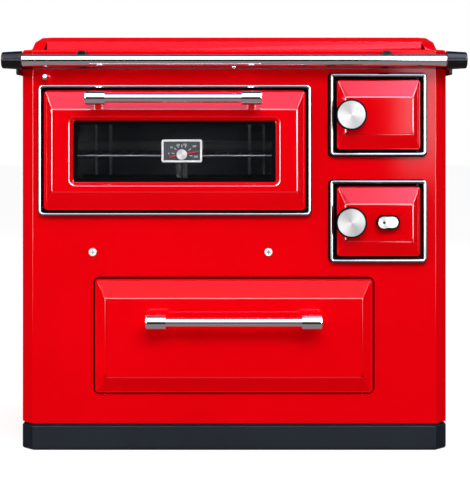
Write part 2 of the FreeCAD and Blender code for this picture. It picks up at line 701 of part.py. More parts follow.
def make_front_panel():
    """Makes the front panel: one sheet bent back at both corners, with the openings."""
    body = make_body("front_panel")
    side = SIDE
    inner_side = f"({SIDE} - panel_sheet)"
    inner_start = f"(corner_chamfer - panel_sheet * {CHAMFER_LOSS_SHARE})"
    rear = f"{FRONT} + corner_chamfer + panel_sheet"
    bend = f"{FRONT} + corner_chamfer"
    inner_bend = f"{FRONT} + panel_sheet + {inner_start}"
    strip = [
        (f"-{side}", rear),
        (f"-{side}", bend),
        (f"-({side} - corner_chamfer)", FRONT),
        (f"{side} - corner_chamfer", FRONT),
        (side, bend),
        (side, rear),
        (inner_side, rear),
        (inner_side, inner_bend),
        (f"{inner_side} - {inner_start}", f"{FRONT} + panel_sheet"),
        (f"-({inner_side} - {inner_start})", f"{FRONT} + panel_sheet"),
        (f"-{inner_side}", inner_bend),
        (f"-{inner_side}", rear),
    ]
    pad(body, "XY_Plane", PANEL_FOOT, PANEL_TOP, strip)
    round_edges(body, "bend_radius", along("z", in_plane("y", FRONT)))
    openings = [door_outline(*door, "opening_inset") for door in (OVEN, FIRE, ASH)]
    openings.append(door_outline(*DRAWER, "(-drawer_gap)"))
    openings.append(("circle", "damper_center", "damper_height", "damper_radius + damper_clearance"))
    for x in ("screw_left", "screw_right"):
        openings.append(("circle", x, "screw_height", "screw_shank + seat_gap"))
    pocket(body, "XZ_Plane", f"{FRONT} - overrun", f"{FRONT} + panel_sheet + overrun", *openings)
    sides = [in_plane("x", f"drawer_center {sign} (drawer_width / 2 + drawer_gap)") for sign in "-+"]
    corners = along("y", lambda edge: any(side(edge) for side in sides))
    round_edges(body, "drawer_corner + drawer_gap", corners)
    return body


def make_side_panel(name, sign):
    """Makes one side panel, between the front panel's bend and the back."""
    start = f"{FRONT} + corner_chamfer + panel_sheet + seat_gap"
    low = "-body_width / 2" if sign == "-" else f"{SIDE} - panel_sheet"
    high = f"{low} + panel_sheet"
    return block(name, low, high, start, BACK, PANEL_FOOT, PANEL_TOP)


def make_back_panel():
    """Makes the back panel with the hole for the flue collar."""
    body = make_body("back_panel")
    inner = f"({SIDE} - panel_sheet)"
    outline = rectangle(f"-{inner}", inner, PANEL_FOOT, PANEL_TOP)
    hole = ("circle", "flue_center_x", "flue_height", "flue_radius + seat_gap")
    pad(body, "XZ_Plane", f"{BACK} - panel_sheet", BACK, outline, hole)
    return body


def make_top_ring():
    """Makes the ring that joins the panels and carries the hob frame."""
    body = make_body("top_ring")
    outer = cabinet_plan("panel_sheet")
    inner = cabinet_plan("(panel_sheet + ring_width)")
    pad(body, "XY_Plane", f"{PANEL_TOP} - ring_height", FRAME_FOOT, outer, inner)
    return body


PLATE_LEFT = f"-({SIDE} - frame_side)"
PLATE_RIGHT = f"({SIDE} - frame_side)"
PLATE_FRONT = f"({FRONT} + frame_front)"
PLATE_BACK = f"({BACK} - frame_rear)"
PLATE_TOP = "(hob_height - hob_plate_drop)"
PLATE_FOOT = "(hob_height - hob_plate_drop - hob_plate_depth)"


def make_hob_frame():
    """Makes the hob frame, with a ledge for the cast plate."""
    body = make_body("hob_frame")
    pad(body, "XY_Plane", FRAME_FOOT, "hob_height", cabinet_plan("0"))
    round_edges(body, "frame_round", along("z"))
    round_edges(body, "frame_round", in_plane("z", "hob_height"))
    round_edges(body, "frame_round", in_plane("z", FRAME_FOOT))
    seat = rectangle(PLATE_LEFT, PLATE_RIGHT, PLATE_FRONT, PLATE_BACK)
    pocket(body, "XY_Plane", PLATE_FOOT, "hob_height + overrun", seat)
    hole = rectangle(
        f"{PLATE_LEFT} + ledge_width",
        f"{PLATE_RIGHT} - ledge_width",
        f"{PLATE_FRONT} + ledge_width",
        f"{PLATE_BACK} - ledge_width",
    )
    pocket(body, "XY_Plane", f"{FRAME_FOOT} - overrun", f"{PLATE_FOOT} + overrun", hole)
    return body


def make_hob_plate():
    """Makes the cast hob plate with the stepped seat for its round cover."""
    body = make_body("hob_plate")
    outline = rectangle(
        f"{PLATE_LEFT} + plate_clearance",
        f"{PLATE_RIGHT} - plate_clearance",
        f"{PLATE_FRONT} + plate_clearance",
        f"{PLATE_BACK} - plate_clearance",
    )
    pad(body, "XY_Plane", PLATE_FOOT, PLATE_TOP, outline)
    seat = ("circle", "cover_center_x", "cover_center_y", "cover_radius + cover_clearance")
    pocket(body, "XY_Plane", f"{PLATE_TOP} - cover_depth", f"{PLATE_TOP} + overrun", seat)
    hole = ("circle", "cover_center_x", "cover_center_y", "cover_radius - cover_rest")
    pocket(body, "XY_Plane", f"{PLATE_FOOT} - overrun", f"{PLATE_TOP} + overrun", hole)
    return body


# Where the lifting slot starts and ends, as shares of the cover's radius
SLOT_SHARES = (0.8, 0.5)


def make_hob_cover():
    """Makes the lift-out cover with its slot for the lifting iron."""
    body = make_body("hob_cover")
    disc = ("circle", "cover_center_x", "cover_center_y", "cover_radius")
    pad(body, "XY_Plane", f"{PLATE_TOP} - cover_depth", PLATE_TOP, disc)
    near_share, far_share = SLOT_SHARES
    slot = rectangle(
        "cover_center_x - cover_slot / 2",
        "cover_center_x + cover_slot / 2",
        f"cover_center_y - cover_radius * {near_share}",
        f"cover_center_y - cover_radius * {far_share}",
    )
    pocket(body, "XY_Plane", f"{PLATE_TOP} - cover_depth / 2", f"{PLATE_TOP} + overrun", slot)
    return body


RAIL_AXIS = f"({FRONT} - rail_reach)"


def make_rail_tube():
    """Makes the towel rail's tube."""
    reach = "(rail_half + cap_grip)"
    return rod("rail_tube", "x", "rail_radius", f"-{reach}", RAIL_AXIS, "rail_height", f"2 * {reach}")


def make_rail_cap(name, sign):
    """Makes a rail cap with the arm that fixes it to the side of the hob frame."""
    flip = f"{sign}1 * "
    profile = [
        (f"{flip}0", "rail_radius + seat_gap"),
        (f"{flip}0", "cap_radius"),
        (f"{flip}cap_length", "cap_end_radius"),
        (f"{flip}cap_length", "0"),
        (f"{flip}(cap_grip + seat_gap)", "0"),
        (f"{flip}(cap_grip + seat_gap)", "rail_radius + seat_gap"),
    ]
    cap = turned(name + "_cap", "x", f"{flip}rail_half", RAIL_AXIS, "rail_height", profile)
    rim = in_plane("x", f"{flip}(rail_half + cap_length)")
    round_edges(cap, "cap_round", rim)
    low = f"-{SIDE} - arm_width" if sign == "-" else SIDE
    arm = make_body(name + "_arm")
    start = f"{RAIL_AXIS} + rail_radius + panel_sheet"
    foot = "rail_height - arm_drop - cap_radius + rail_radius"
    outline = rectangle(start, f"{start} + arm_length - rail_radius", foot, f"{foot} + arm_height")
    pad(arm, "YZ_Plane", low, f"{low} + arm_width", outline)
    round_edges(arm, "arm_round", along("x"))
    outer = f"-{SIDE} - arm_width" if sign == "-" else f"{SIDE} + arm_width"
    round_edges(arm, "arm_edge", in_plane("x", outer))
    return fuse(name, [cap, arm])


def make_rail_posts():
    """Makes the two posts that hold the rail from behind."""
    posts = []
    for name, sign in (("left", "-"), ("right", "")):
        body = make_body(f"rail_post_{name}_block")
        middle = f"{sign}1 * post_center"
        top = "(hob_height - post_drop)"
        low, high = f"{middle} - post_width / 2", f"{middle} + post_width / 2"
        outline = rectangle(low, high, f"{top} - post_height", top)
        pad(body, "XZ_Plane", f"{RAIL_AXIS} + rail_radius / 2", FRONT, outline)
        round_edges(body, "post_round", along("y"))
        round_edges(body, "post_round / 2", in_plane("y", f"{RAIL_AXIS} + rail_radius / 2"))
        reach = "post_width / 2 + overrun"
        tool = rod(
            f"rail_post_{name}_seat", "x", "rail_radius + seat_gap",
            f"{middle} - ({reach})", RAIL_AXIS, "rail_height", f"2 * ({reach})",
        )
        posts.append(cut(f"rail_post_{name}", body, tool))
    return group("rail_posts", posts)


# Half the length of a screw's cross, as a share of its head's radius
CROSS_SHARE = 0.45


def make_screw(name, x, y, z, head_radius, head, shank, length):
    """Makes a screw with a cross in its head; the head stands on the plane y."""
    profile = [
        (f"-{head}", "0"),
        (f"-{head}", head_radius),
        ("0", head_radius),
        ("0", shank),
        (length, shank),
        (length, "0"),
    ]
    body = turned(name, "y", x, y, z, profile)
    round_edges(body, "screw_round", in_plane("y", f"{y} - {head}"))
    half = f"{head_radius} * {CROSS_SHARE}"
    arm = "screw_slot / 2"
    cross = [
        rectangle(f"{x} - {half}", f"{x} + {half}", f"{z} - {arm}", f"{z} + {arm}"),
        rectangle(f"{x} - {arm}", f"{x} + {arm}", f"{z} - {half}", f"{z} + {half}"),
    ]
    for outline in cross:
        pocket(body, "XZ_Plane", f"{y} - {head} - overrun", f"{y} - {head} + screw_slot_depth", outline)
    return body


def make_panel_screws():
    """Makes the two cross-head screws on the front panel."""
    left = make_screw(
        "panel_screw_left", "screw_left", FRONT, "screw_height",
        "screw_radius", "screw_head", "screw_shank", "screw_length",
    )
    right = make_screw(
        "panel_screw_right", "screw_right", FRONT, "screw_height",
        "screw_radius", "screw_head", "screw_shank", "screw_length",
    )
    return group("panel_screws", [left, right])


# Doors

PIN_AXIS_Y = f"({FRONT} - door_gap - door_edge / 2)"


# Flat land inside a pressed front's edge, as a share of its corner radius
LAND_SHARE = 0.45
# Leg of a corner cut that just touches a rounding, as a share of the rounding's radius
EASED_SHARE = 2 - math.sqrt(2)


def eased(outline, leg):
    """Returns a rectangle with its four corners cut across."""
    (x0, z0), _, (x1, z1), _ = outline
    return [
        (f"{x0} + {leg}", z0), (f"{x1} - {leg}", z0), (x1, f"{z0} + {leg}"), (x1, f"{z1} - {leg}"),
        (f"{x1} - {leg}", z1), (f"{x0} + {leg}", z1), (x0, f"{z1} - {leg}"), (x0, f"{z0} + {leg}"),
    ]


# Points of a quarter turn, in from its tangent, as shares of its radius
TURN_STEPS = 4
TURN_SHARES = [round(1 - math.sin(math.pi / 2 * step / TURN_STEPS), 6) for step in range(TURN_STEPS + 1)]


def rounded(outline, radius):
    """Returns a rectangle with each corner turned in short straight steps."""
    (x0, z0), _, (x1, z1), _ = outline
    turn = list(zip(TURN_SHARES, reversed(TURN_SHARES)))
    points = [(f"{x1} - ({radius}) * {near}", f"{z0} + ({radius}) * {far}") for near, far in turn]
    points += [(f"{x1} - ({radius}) * {far}", f"{z1} - ({radius}) * {near}") for near, far in turn]
    points += [(f"{x0} + ({radius}) * {near}", f"{z1} - ({radius}) * {far}") for near, far in turn]
    points += [(f"{x0} + ({radius}) * {far}", f"{z0} + ({radius}) * {near}") for near, far in turn]
    return points


def pressed_front(name, door, corner, side, top, foot, back, edge_face, face, window=False, solid=False):
    """Makes a pressed front: an edge all round, mitred bevels and a raised face."""
    x, low, width, tall = door
    body = make_body(name)
    pad(body, "XZ_Plane", edge_face, back, door_outline(x, low, width, tall))
    round_edges(body, corner, along("y"))
    rim = door_outline(x, low, width, tall, f"({corner} * {LAND_SHARE})")
    half = f"({width} / 2 - {side})"
    raised = rectangle(f"{x} - {half}", f"{x} + {half}", f"{low} + {foot}", f"{low} + {tall} - {top}")
    loft(body, "AdditiveLoft", "XZ_Plane", [(edge_face, rim), (face, raised)])
    round_edges(body, "mitre_round", slanting(face, edge_face))
    if solid:
        return body
    floor = f"{edge_face} + door_wall"
    hollow = eased(door_outline(x, low, width, tall, "door_wall"), f"({corner} - door_wall) * {EASED_SHARE}")
    pocket(body, "XZ_Plane", floor, f"{back} + overrun", hollow)
    inner_rim = grown(rim, "-1 * door_wall")
    inner_face = grown(raised, "-1 * door_wall")
    loft(body, "SubtractiveLoft", "XZ_Plane", [(floor, inner_rim), (f"{face} + door_wall", inner_face)])
    if window:
        outer, inner = window_outlines()
        sink = f"{face} + window_sink"
        tub = [
            (f"{face} + door_wall / 2", rounded(grown(outer, "door_wall"), "window_round + door_wall")),
            (f"{sink} + door_wall", rounded(grown(inner, "door_wall"), "glass_round + door_wall")),
        ]
        loft(body, "AdditiveLoft", "XZ_Plane", tub)
        mouth = rounded(outer, "window_round")
        opening = rounded(inner, "glass_round")
        loft(body, "SubtractiveLoft", "XZ_Plane", [(face, mouth), (sink, opening)])
        pocket(body, "XZ_Plane", sink, f"{sink} + door_wall + overrun", opening)
    return body


def window_outlines():
    """Returns the oven window's outer rim and its glass opening."""
    x, low, width, tall = OVEN
    half = f"({width} / 2 - oven_bevel_side - window_side)"
    foot = f"({low} + oven_bevel_foot + window_foot)"
    top = f"({low} + {tall} - oven_bevel_top - window_top)"
    outer = rectangle(f"{x} - {half}", f"{x} + {half}", foot, top)
    inner = rectangle(
        f"{x} - {half} + window_slope", f"{x} + {half} - window_slope",
        f"{foot} + window_slope", f"{top} - window_slope",
    )
    return outer, inner


def grown(outline, step):
    """Returns a rectangle drawn out by a step on every side."""
    (x0, z0), _, (x1, z1), _ = outline
    return rectangle(f"{x0} - ({step})", f"{x1} + ({step})", f"{z0} - ({step})", f"{z1} + ({step})")


GLASS_BACK = f"({DOOR_FACE} + window_sink + door_wall + glass_sheet)"
LINER_FRONT = f"({DOOR_BACK} - liner_sheet)"


def bore_door(body, door, axis):
    """Drills the two holes for the hinge pins through a door's edge walls."""
    x, low, width, tall = door
    radius = "pin_radius + pin_fit"
    bore = "door_wall * 2"
    if axis == "x":
        circle = ("circle", PIN_AXIS_Y, f"{low} + hinge_inset", radius)
        for start in (f"{x} - {width} / 2", f"{x} + {width} / 2 - {bore}"):
            pocket(body, "YZ_Plane", f"{start} - seat_gap", f"{start} + {bore} + seat_gap", circle)
    else:
        circle = ("circle", f"{x} + {width} / 2 - hinge_inset", PIN_AXIS_Y, radius)
        for start in (low, f"{low} + {tall} - {bore}"):
            pocket(body, "XY_Plane", f"{start} - seat_gap", f"{start} + {bore} + seat_gap", circle)


def make_oven_door():
    """Makes the oven door's pressed front, its liner and its glass."""
    front = pressed_front(
        "oven_door_front", OVEN, "oven_corner", "oven_bevel_side", "oven_bevel_top",
        "oven_bevel_foot", DOOR_BACK, EDGE_FACE, DOOR_FACE, window=True,
    )
    bore_door(front, OVEN, "x")
    liner = make_body("oven_door_liner")
    opening = window_outlines()[1]
    gap = "door_wall + seat_gap"
    pad(liner, "XZ_Plane", LINER_FRONT, DOOR_BACK, door_outline(*OVEN, gap))
    round_edges(liner, "oven_corner - door_wall", along("y"))
    pad(liner, "XZ_Plane", GLASS_BACK, LINER_FRONT, grown(opening, "liner_sheet"))
    pocket(liner, "XZ_Plane", f"{GLASS_BACK} - overrun", f"{DOOR_BACK} + overrun", opening)
    glass = make_body("oven_glass")
    pad(glass, "XZ_Plane", f"{GLASS_BACK} - glass_sheet", GLASS_BACK, grown(opening, "glass_lap"))
    round_edges(glass, "glass_lap", along("y"))
    return front, liner, glass


def make_small_door(name, door):
    """Makes a fire or ash door's pressed front and its liner."""
    front = pressed_front(
        name + "_pressing", door, "fire_corner", "fire_bevel_side", "fire_bevel_top",
        "fire_bevel_foot", DOOR_BACK, EDGE_FACE, DOOR_FACE,
    )
    bore_door(front, door, "z")
    liner = make_body(name + "_liner")
    pad(liner, "XZ_Plane", LINER_FRONT, DOOR_BACK, door_outline(*door, "door_wall + seat_gap"))
    round_edges(liner, "fire_corner - door_wall", along("y"))
    return front, liner


# How far a hinge pin enters its trim, as a share of the trim's width
PIN_ENTRY_SHARE = 0.7


def make_trim(name, door, turn, gap, bar, axis):
    """Makes a door trim: a rounded frame on the panel, drilled for the hinge pins."""
    x, low, width, tall = door
    body = make_body(name)
    outer = door_outline(*door, f"(-({gap} + {bar}))")
    inner = door_outline(*door, f"(-{gap})")
    pad(body, "XZ_Plane", EDGE_FACE, FRONT, outer, inner)
    inner_side = f"{x} - {width} / 2 - {gap}"
    inner_far = f"{x} + {width} / 2 + {gap}"
    round_edges(body, turn, along("y"))
    round_edges(body, "trim_round", in_plane("y", EDGE_FACE))
    radius = "pin_radius + pin_clearance"
    entry = f"{bar} * {PIN_ENTRY_SHARE} + seat_gap"
    if axis == "x":
        circle = ("circle", PIN_AXIS_Y, f"{low} + hinge_inset", radius)
        pocket(body, "YZ_Plane", f"{inner_side} - ({entry})", f"{inner_side} + {gap}", circle)
        pocket(body, "YZ_Plane", f"{inner_far} - {gap}", f"{inner_far} + {entry}", circle)
    else:
        circle = ("circle", f"{x} + {width} / 2 - hinge_inset", PIN_AXIS_Y, radius)
        foot = f"{low} - {gap}"
        head = f"{low} + {tall} + {gap}"
        pocket(body, "XY_Plane", f"{foot} - ({entry})", f"{foot} + {gap}", circle)
        pocket(body, "XY_Plane", f"{head} - {gap}", f"{head} + {entry}", circle)
    return body


def make_pins(name, door, gap, bar, axis):
    """Makes the two hinge pins, from inside the door's edge into the trim."""
    x, low, width, tall = door
    reach = f"({gap} + {bar} * {PIN_ENTRY_SHARE})"
    length = f"{reach} + door_wall * 2"
    if axis == "x":
        z = f"{low} + hinge_inset"
        first = rod(name + "_left", "x", "pin_radius", f"{x} - {width} / 2 - {reach}", PIN_AXIS_Y, z, length)
        start = f"{x} + {width} / 2 - door_wall * 2"
        second = rod(name + "_right", "x", "pin_radius", start, PIN_AXIS_Y, z, length)
    else:
        across = f"{x} + {width} / 2 - hinge_inset"
        first = rod(name + "_lower", "z", "pin_radius", across, PIN_AXIS_Y, f"{low} - {reach}", length)
        start = f"{low} + {tall} - door_wall * 2"
        second = rod(name + "_upper", "z", "pin_radius", across, PIN_AXIS_Y, start, length)
    return group(name, [first, second])


def make_rope_seals():
    """Makes the three rope seals between the panel and the doors."""
    seals = []
    for name, door in (("oven_seal", OVEN), ("fire_seal", FIRE), ("ash_seal", ASH)):
        body = make_body(name)
        outer = door_outline(*door, "seal_inset")
        inner = door_outline(*door, "(seal_inset + seal_width)")
        front = f"{DOOR_BACK} + seat_gap"
        pad(body, "XZ_Plane", front, FRONT, outer, inner)
        round_edges(body, "seal_round", in_plane("y", front))
        seals.append(body)
    return group("rope_seals", seals)


def make_knob(name, door):
    """Makes a door knob with a shallow seat for its metal face."""
    x, low, width, tall = door
    back = "-1 * knob_neck"
    front = "-1 * (knob_neck + knob_depth)"
    floor = f"{front} + knob_disc_depth - knob_disc_proud"
    profile = [
        ("0", "0"),
        ("0", "knob_neck_radius"),
        (back, "knob_neck_radius"),
        (back, "knob_radius"),
        (front, "knob_radius"),
        (front, "knob_disc_radius + seat_gap"),
        (floor, "knob_disc_radius + seat_gap"),
        (floor, "0"),
    ]
    center = f"{x} + knob_offset"
    height = f"{low} + {tall} / 2"
    body = turned(name, "y", center, DOOR_FACE, height, profile)
    rim_low = f"{DOOR_FACE} - knob_neck"

    def outer_rims(edge):
        wide = spans(edge, "x")[1] - spans(edge, "x")[0]
        flat = in_plane("y", rim_low)(edge) or in_plane("y", f"{rim_low} - knob_depth")(edge)
        return flat and abs(wide - 2 * number("knob_radius")) < NEAR
    round_edges(body, "knob_round", outer_rims)
    disc = turned(name + "_disc", "y", center, DOOR_FACE, height, [
        (floor, "0"),
        (floor, "knob_disc_radius"),
        (f"{front} - knob_disc_proud", "knob_disc_radius"),
        (f"{front} - knob_disc_proud", "0"),
    ])
    return body, disc


def make_handle(name, x, height, face, cap_radius, backing=None):
    """Makes a bar handle: the bar, and its two caps with their posts."""
    axis_y = f"({face} - handle_reach)"
    half = "(handle_length / 2)"
    inset = "(handle_cap_length - handle_cap_grip)"
    start = f"{x} - {half} + {inset}"
    bar = rod(name + "_bar", "x", "handle_radius", start, axis_y, height, f"handle_length - 2 * {inset}")
    caps = []
    for side, sign in (("left", "-"), ("right", "")):
        flip = f"{sign}1 * "
        inner = f"{flip}({half} - handle_cap_length)"
        outer = f"{flip}{half}"
        floor = f"{flip}({half} - {inset} + seat_gap)"
        cap = turned(f"{name}_{side}_cap", "x", x, axis_y, height, [
            (inner, "handle_radius + seat_gap"),
            (inner, cap_radius),
            (outer, cap_radius),
            (outer, "0"),
            (floor, "0"),
            (floor, "handle_radius + seat_gap"),
        ])
        rim = in_plane("x", f"{x} + {outer}")
        round_edges(cap, "handle_cap_round", rim)
        middle = f"{x} + {flip}({half} - handle_cap_length / 2)"
        post_start = f"{axis_y} + handle_radius + handle_cap_round"
        post = rod(
            f"{name}_{side}_post", "y", "handle_post_radius", middle, post_start, height,
            f"{face} - ({post_start})",
        )
        if backing:
            tie(post, Height=f"{EDGE_FACE} - ({post_start})")
            post = cut(f"{name}_{side}_post_end", post, backing)
        caps.append(fuse(f"{name}_{side}", [cap, post]))
    return bar, group(name + "_caps", caps)


# Oven

OVEN_LOW = "(oven_door_bottom + opening_inset - oven_margin)"
OVEN_HIGH = "(oven_door_bottom + oven_door_height - opening_inset + oven_margin)"
OVEN_HALF = "(oven_door_width / 2 - opening_inset + oven_margin)"
OVEN_FRONT = f"({FRONT} + panel_sheet)"
OVEN_BACK = f"({FRONT} + panel_sheet + oven_depth)"


def oven_outline(inset):
    """Returns the oven box's outside in the front plane, drawn in by an inset."""
    return rectangle(
        f"oven_center - {OVEN_HALF} - oven_sheet + {inset}",
        f"oven_center + {OVEN_HALF} + oven_sheet - {inset}",
        f"{OVEN_LOW} - oven_sheet + {inset}",
        f"{OVEN_HIGH} + oven_sheet - {inset}",
    )


def make_oven_box():
    """Makes the enamelled oven box, its pressed ribs and the lugs for the damper rod."""
    body = make_body("oven_box")
    pad(body, "XZ_Plane", OVEN_FRONT, OVEN_BACK, oven_outline("0"))
    cavity_front = f"{OVEN_FRONT} + oven_sheet"
    cavity_back = f"{OVEN_BACK} - oven_sheet"
    pocket(body, "XZ_Plane", cavity_front, cavity_back, oven_outline("oven_sheet"))
    mouth = door_outline(*OVEN, "opening_inset")
    pocket(body, "XZ_Plane", f"{OVEN_FRONT} - overrun", f"{cavity_front} + overrun", mouth)
    ribs = []
    for step in range(int(number("oven_ribs"))):
        middle = f"{OVEN_LOW} + ({OVEN_HIGH} - {OVEN_LOW}) * {step + 1} / (oven_ribs + 1)"
        ribs.append(rectangle(
            f"oven_center - {OVEN_HALF} + oven_rib_height", f"oven_center + {OVEN_HALF} - oven_rib_height",
            f"{middle} - oven_rib_height / 2", f"{middle} + oven_rib_height / 2",
        ))
    pad(body, "XZ_Plane", f"{cavity_back} - oven_rib", cavity_back, *ribs)
    lug = rectangle(
        "damper_center - damper_radius - damper_lug_wall",
        "damper_center - damper_radius - damper_lug_wall + damper_lug_width",
        f"{OVEN_HIGH} + oven_sheet",
        "damper_height + damper_radius + damper_lug_wall",
    )
    bore = ("circle", "damper_center", "damper_height", "damper_radius + damper_clearance")
    for step in (1, 2):
        start = f"{FRONT} + damper_lug_pitch * {step} - damper_lug_pitch / 2"
        pad(body, "XZ_Plane", start, f"{start} + damper_lug", lug, bore)
    return body


def make_oven_supports():
    """Makes the two wire frames that carry the racks."""
    sides = []
    for name, sign in (("left", "-"), ("right", "")):
        flip = f"{sign}1 * "
        wall = f"oven_center + {flip}{OVEN_HALF}"
        upright_x = f"{wall} - {flip}(support_wire + seat_gap)"
        wire_x = f"{wall} - {flip}support_reach"
        front = f"{OVEN_FRONT} + oven_sheet + support_ends"
        back = f"{OVEN_BACK} - oven_sheet - support_ends"
        foot = f"{OVEN_LOW} + support_first / 2"
        rise = f"{OVEN_HIGH} - {OVEN_LOW} - support_first"
        wires = []
        for end, y in (("front", front), ("back", back)):
            wires.append(rod(f"support_{name}_{end}", "z", "support_wire", upright_x, y, foot, rise))
        for level in range(int(number("support_levels"))):
            z = f"{OVEN_LOW} + support_first + support_pitch * {level}"
            label = f"support_{name}_{level}"
            wires.append(rod(label, "y", "support_wire", wire_x, front, z, f"{back} - ({front})"))
            low_x = upright_x if sign == "-" else wire_x
            for end, y in (("front", front), ("back", back)):
                length = "support_reach - support_wire - seat_gap"
                wires.append(rod(f"{label}_{end}", "x", "support_wire", low_x, y, z, length))
        sides.append(fuse(f"support_{name}", wires))
    return group("oven_supports", sides)


def support_top(level):
    """Returns the height of a rack level's wire, at its top."""
    return f"({OVEN_LOW} + support_first + support_pitch * {level} + support_wire)"


def make_oven_rack():
    """Makes the wire rack: a rim and wires from front to back."""
    half = f"({OVEN_HALF} - support_reach)"
    z = f"{support_top(1)} + seat_gap + rack_rim"
    front = f"{OVEN_FRONT} + oven_sheet + support_ends"
    back = f"{OVEN_BACK} - oven_sheet - support_ends"
    wires = [
        rod("rack_front", "x", "rack_rim", f"oven_center - {half}", front, z, f"2 * {half}"),
        rod("rack_back", "x", "rack_rim", f"oven_center - {half}", back, z, f"2 * {half}"),
        rod("rack_left", "y", "rack_rim", f"oven_center - {half}", front, z, f"{back} - ({front})"),
        rod("rack_right", "y", "rack_rim", f"oven_center + {half}", front, z, f"{back} - ({front})"),
    ]
    count = int(number("rack_wires"))
    for step in range(1, count + 1):
        x = f"oven_center - {half} + 2 * {half} * {step} / (rack_wires + 1)"
        wires.append(rod(f"rack_wire_{step}", "y", "rack_wire", x, front, z, f"{back} - ({front})"))
    return fuse("oven_rack", wires)


def make_baking_tray():
    """Makes the baking tray, which hangs by its rim on the lowest wires."""
    body = make_body("baking_tray")
    half = f"({OVEN_HALF} - support_wire * 2 - seat_gap * 2)"
    inner = f"({OVEN_HALF} - support_reach - tray_rim)"
    front = f"{OVEN_FRONT} + oven_sheet + support_ends"
    back = f"{OVEN_BACK} - oven_sheet - support_ends"
    top = f"({support_top(0)} + seat_gap + tray_sheet)"
    rim = rectangle(f"oven_center - {half}", f"oven_center + {half}", front, back)
    pad(body, "XY_Plane", f"{top} - tray_sheet", top, rim)
    pan = rectangle(
        f"oven_center - {inner}", f"oven_center + {inner}", f"{front} + tray_rim", f"{back} - tray_rim",
    )
    pad(body, "XY_Plane", f"{top} - tray_depth", f"{top} - tray_sheet", pan)
    below = number(f"{top} - tray_sheet / 2")
    round_edges(body, "tray_rim", along("z", lambda edge: spans(edge, "z")[1] < below))
    well = rectangle(
        f"oven_center - {inner} + tray_sheet", f"oven_center + {inner} - tray_sheet",
        f"{front} + tray_rim + tray_sheet", f"{back} - tray_rim - tray_sheet",
    )
    pocket(body, "XY_Plane", f"{top} - tray_depth + tray_sheet", f"{top} + overrun", well)
    return body


# Thermometer

GAUGE_BACK = f"({DOOR_BACK} - gauge_stand)"
GAUGE_FRONT = f"({DOOR_BACK} - gauge_stand - gauge_depth)"
DIAL_FACE = f"({DOOR_BACK} - gauge_stand - gauge_sheet - dial_sheet)"
HUB_Z = "(gauge_height - gauge_drop)"


def gauge_outline(inset):
    """Returns the thermometer's rectangle, drawn in by an inset."""
    return rectangle(
        f"gauge_center - gauge_width / 2 + {inset}", f"gauge_center + gauge_width / 2 - ({inset})",
        f"gauge_height - gauge_tall / 2 + {inset}", f"gauge_height + gauge_tall / 2 - ({inset})",
    )


def make_thermometer():
    """Makes the thermometer's case with its two legs, its dial and its needle."""
    case = make_body("thermometer_case")
    pad(case, "XZ_Plane", GAUGE_FRONT, GAUGE_BACK, gauge_outline("0"))
    round_edges(case, "gauge_corner", along("y"))
    floor = f"({GAUGE_BACK} - gauge_sheet)"
    pocket(case, "XZ_Plane", f"{GAUGE_FRONT} - overrun", floor, gauge_outline("gauge_rim"))
    round_edges(case, "gauge_round", in_plane("y", GAUGE_FRONT))
    window_foot = window_outlines()[1][0][1]
    legs = []
    for sign in ("-", ""):
        middle = f"gauge_center + {sign}1 * leg_spread / 2"
        legs.append(rectangle(
            f"{middle} - leg_width / 2", f"{middle} + leg_width / 2",
            window_foot, "gauge_height - gauge_tall / 2 + gauge_rim / 2",
        ))
    pad(case, "XZ_Plane", floor, f"{floor} + gauge_sheet", *legs)
    dial = make_body("thermometer_dial")
    pivot = ("circle", "gauge_center", HUB_Z, "spindle_radius + pin_clearance")
    pad(dial, "XZ_Plane", DIAL_FACE, floor, gauge_outline("(gauge_rim + pin_clearance)"), pivot)
    needle = make_needle()
    return case, dial, needle


def make_needle():
    """Makes the needle: two arms, a hub and the spindle through the dial."""
    back = f"({GAUGE_FRONT} - seat_gap)"
    front = f"({back} - needle_sheet)"
    pieces = [
        rod("needle_hub", "y", "hub_radius", "gauge_center", f"{back} - hub_depth", HUB_Z, "hub_depth"),
        rod(
            "needle_spindle", "y", "spindle_radius", "gauge_center", back, HUB_Z,
            f"{DIAL_FACE} + dial_sheet - {back}",
        ),
    ]
    for name, length, tilt in (
        ("needle_arm_long", "needle_long", "-1 * needle_tilt_long"),
        ("needle_arm_short", "needle_short", "180 - needle_tilt_short"),
    ):
        arm = doc.addObject("Part::Box", name)
        tie(arm, Length=length, Width="needle_sheet", Height="needle_width")
        turn = number(tilt)
        arm.Placement = FreeCAD.Placement(Vector(), FreeCAD.Rotation(Vector(0, 1, 0), turn))
        tie(arm, **{"Placement.Rotation.Angle": f"{tilt}"})
        lift = math.radians(turn)
        across = f"needle_width / 2 * {-math.sin(lift):.6f}"
        up = f"needle_width / 2 * {-math.cos(lift):.6f}"
        place(arm, f"gauge_center + {across}", front, f"{HUB_Z} + {up}")
        pieces.append(arm)
    return fuse("thermometer_needle", pieces)


# Firebox

BOX_LEFT = "(fire_center - fire_door_width / 2 + opening_inset - firebox_side)"
BOX_RIGHT = "(fire_center + fire_door_width / 2 - opening_inset + firebox_side)"
BOX_FOOT = "(ash_door_bottom + opening_inset - firebox_sheet)"
BOX_TOP = f"({PANEL_TOP} - ring_height - seat_gap)"
BOX_FRONT = f"({FRONT} + panel_sheet)"
BOX_BACK = f"({BACK} - panel_sheet)"
GRATE_TOP = "(grate_height + grate_depth)"


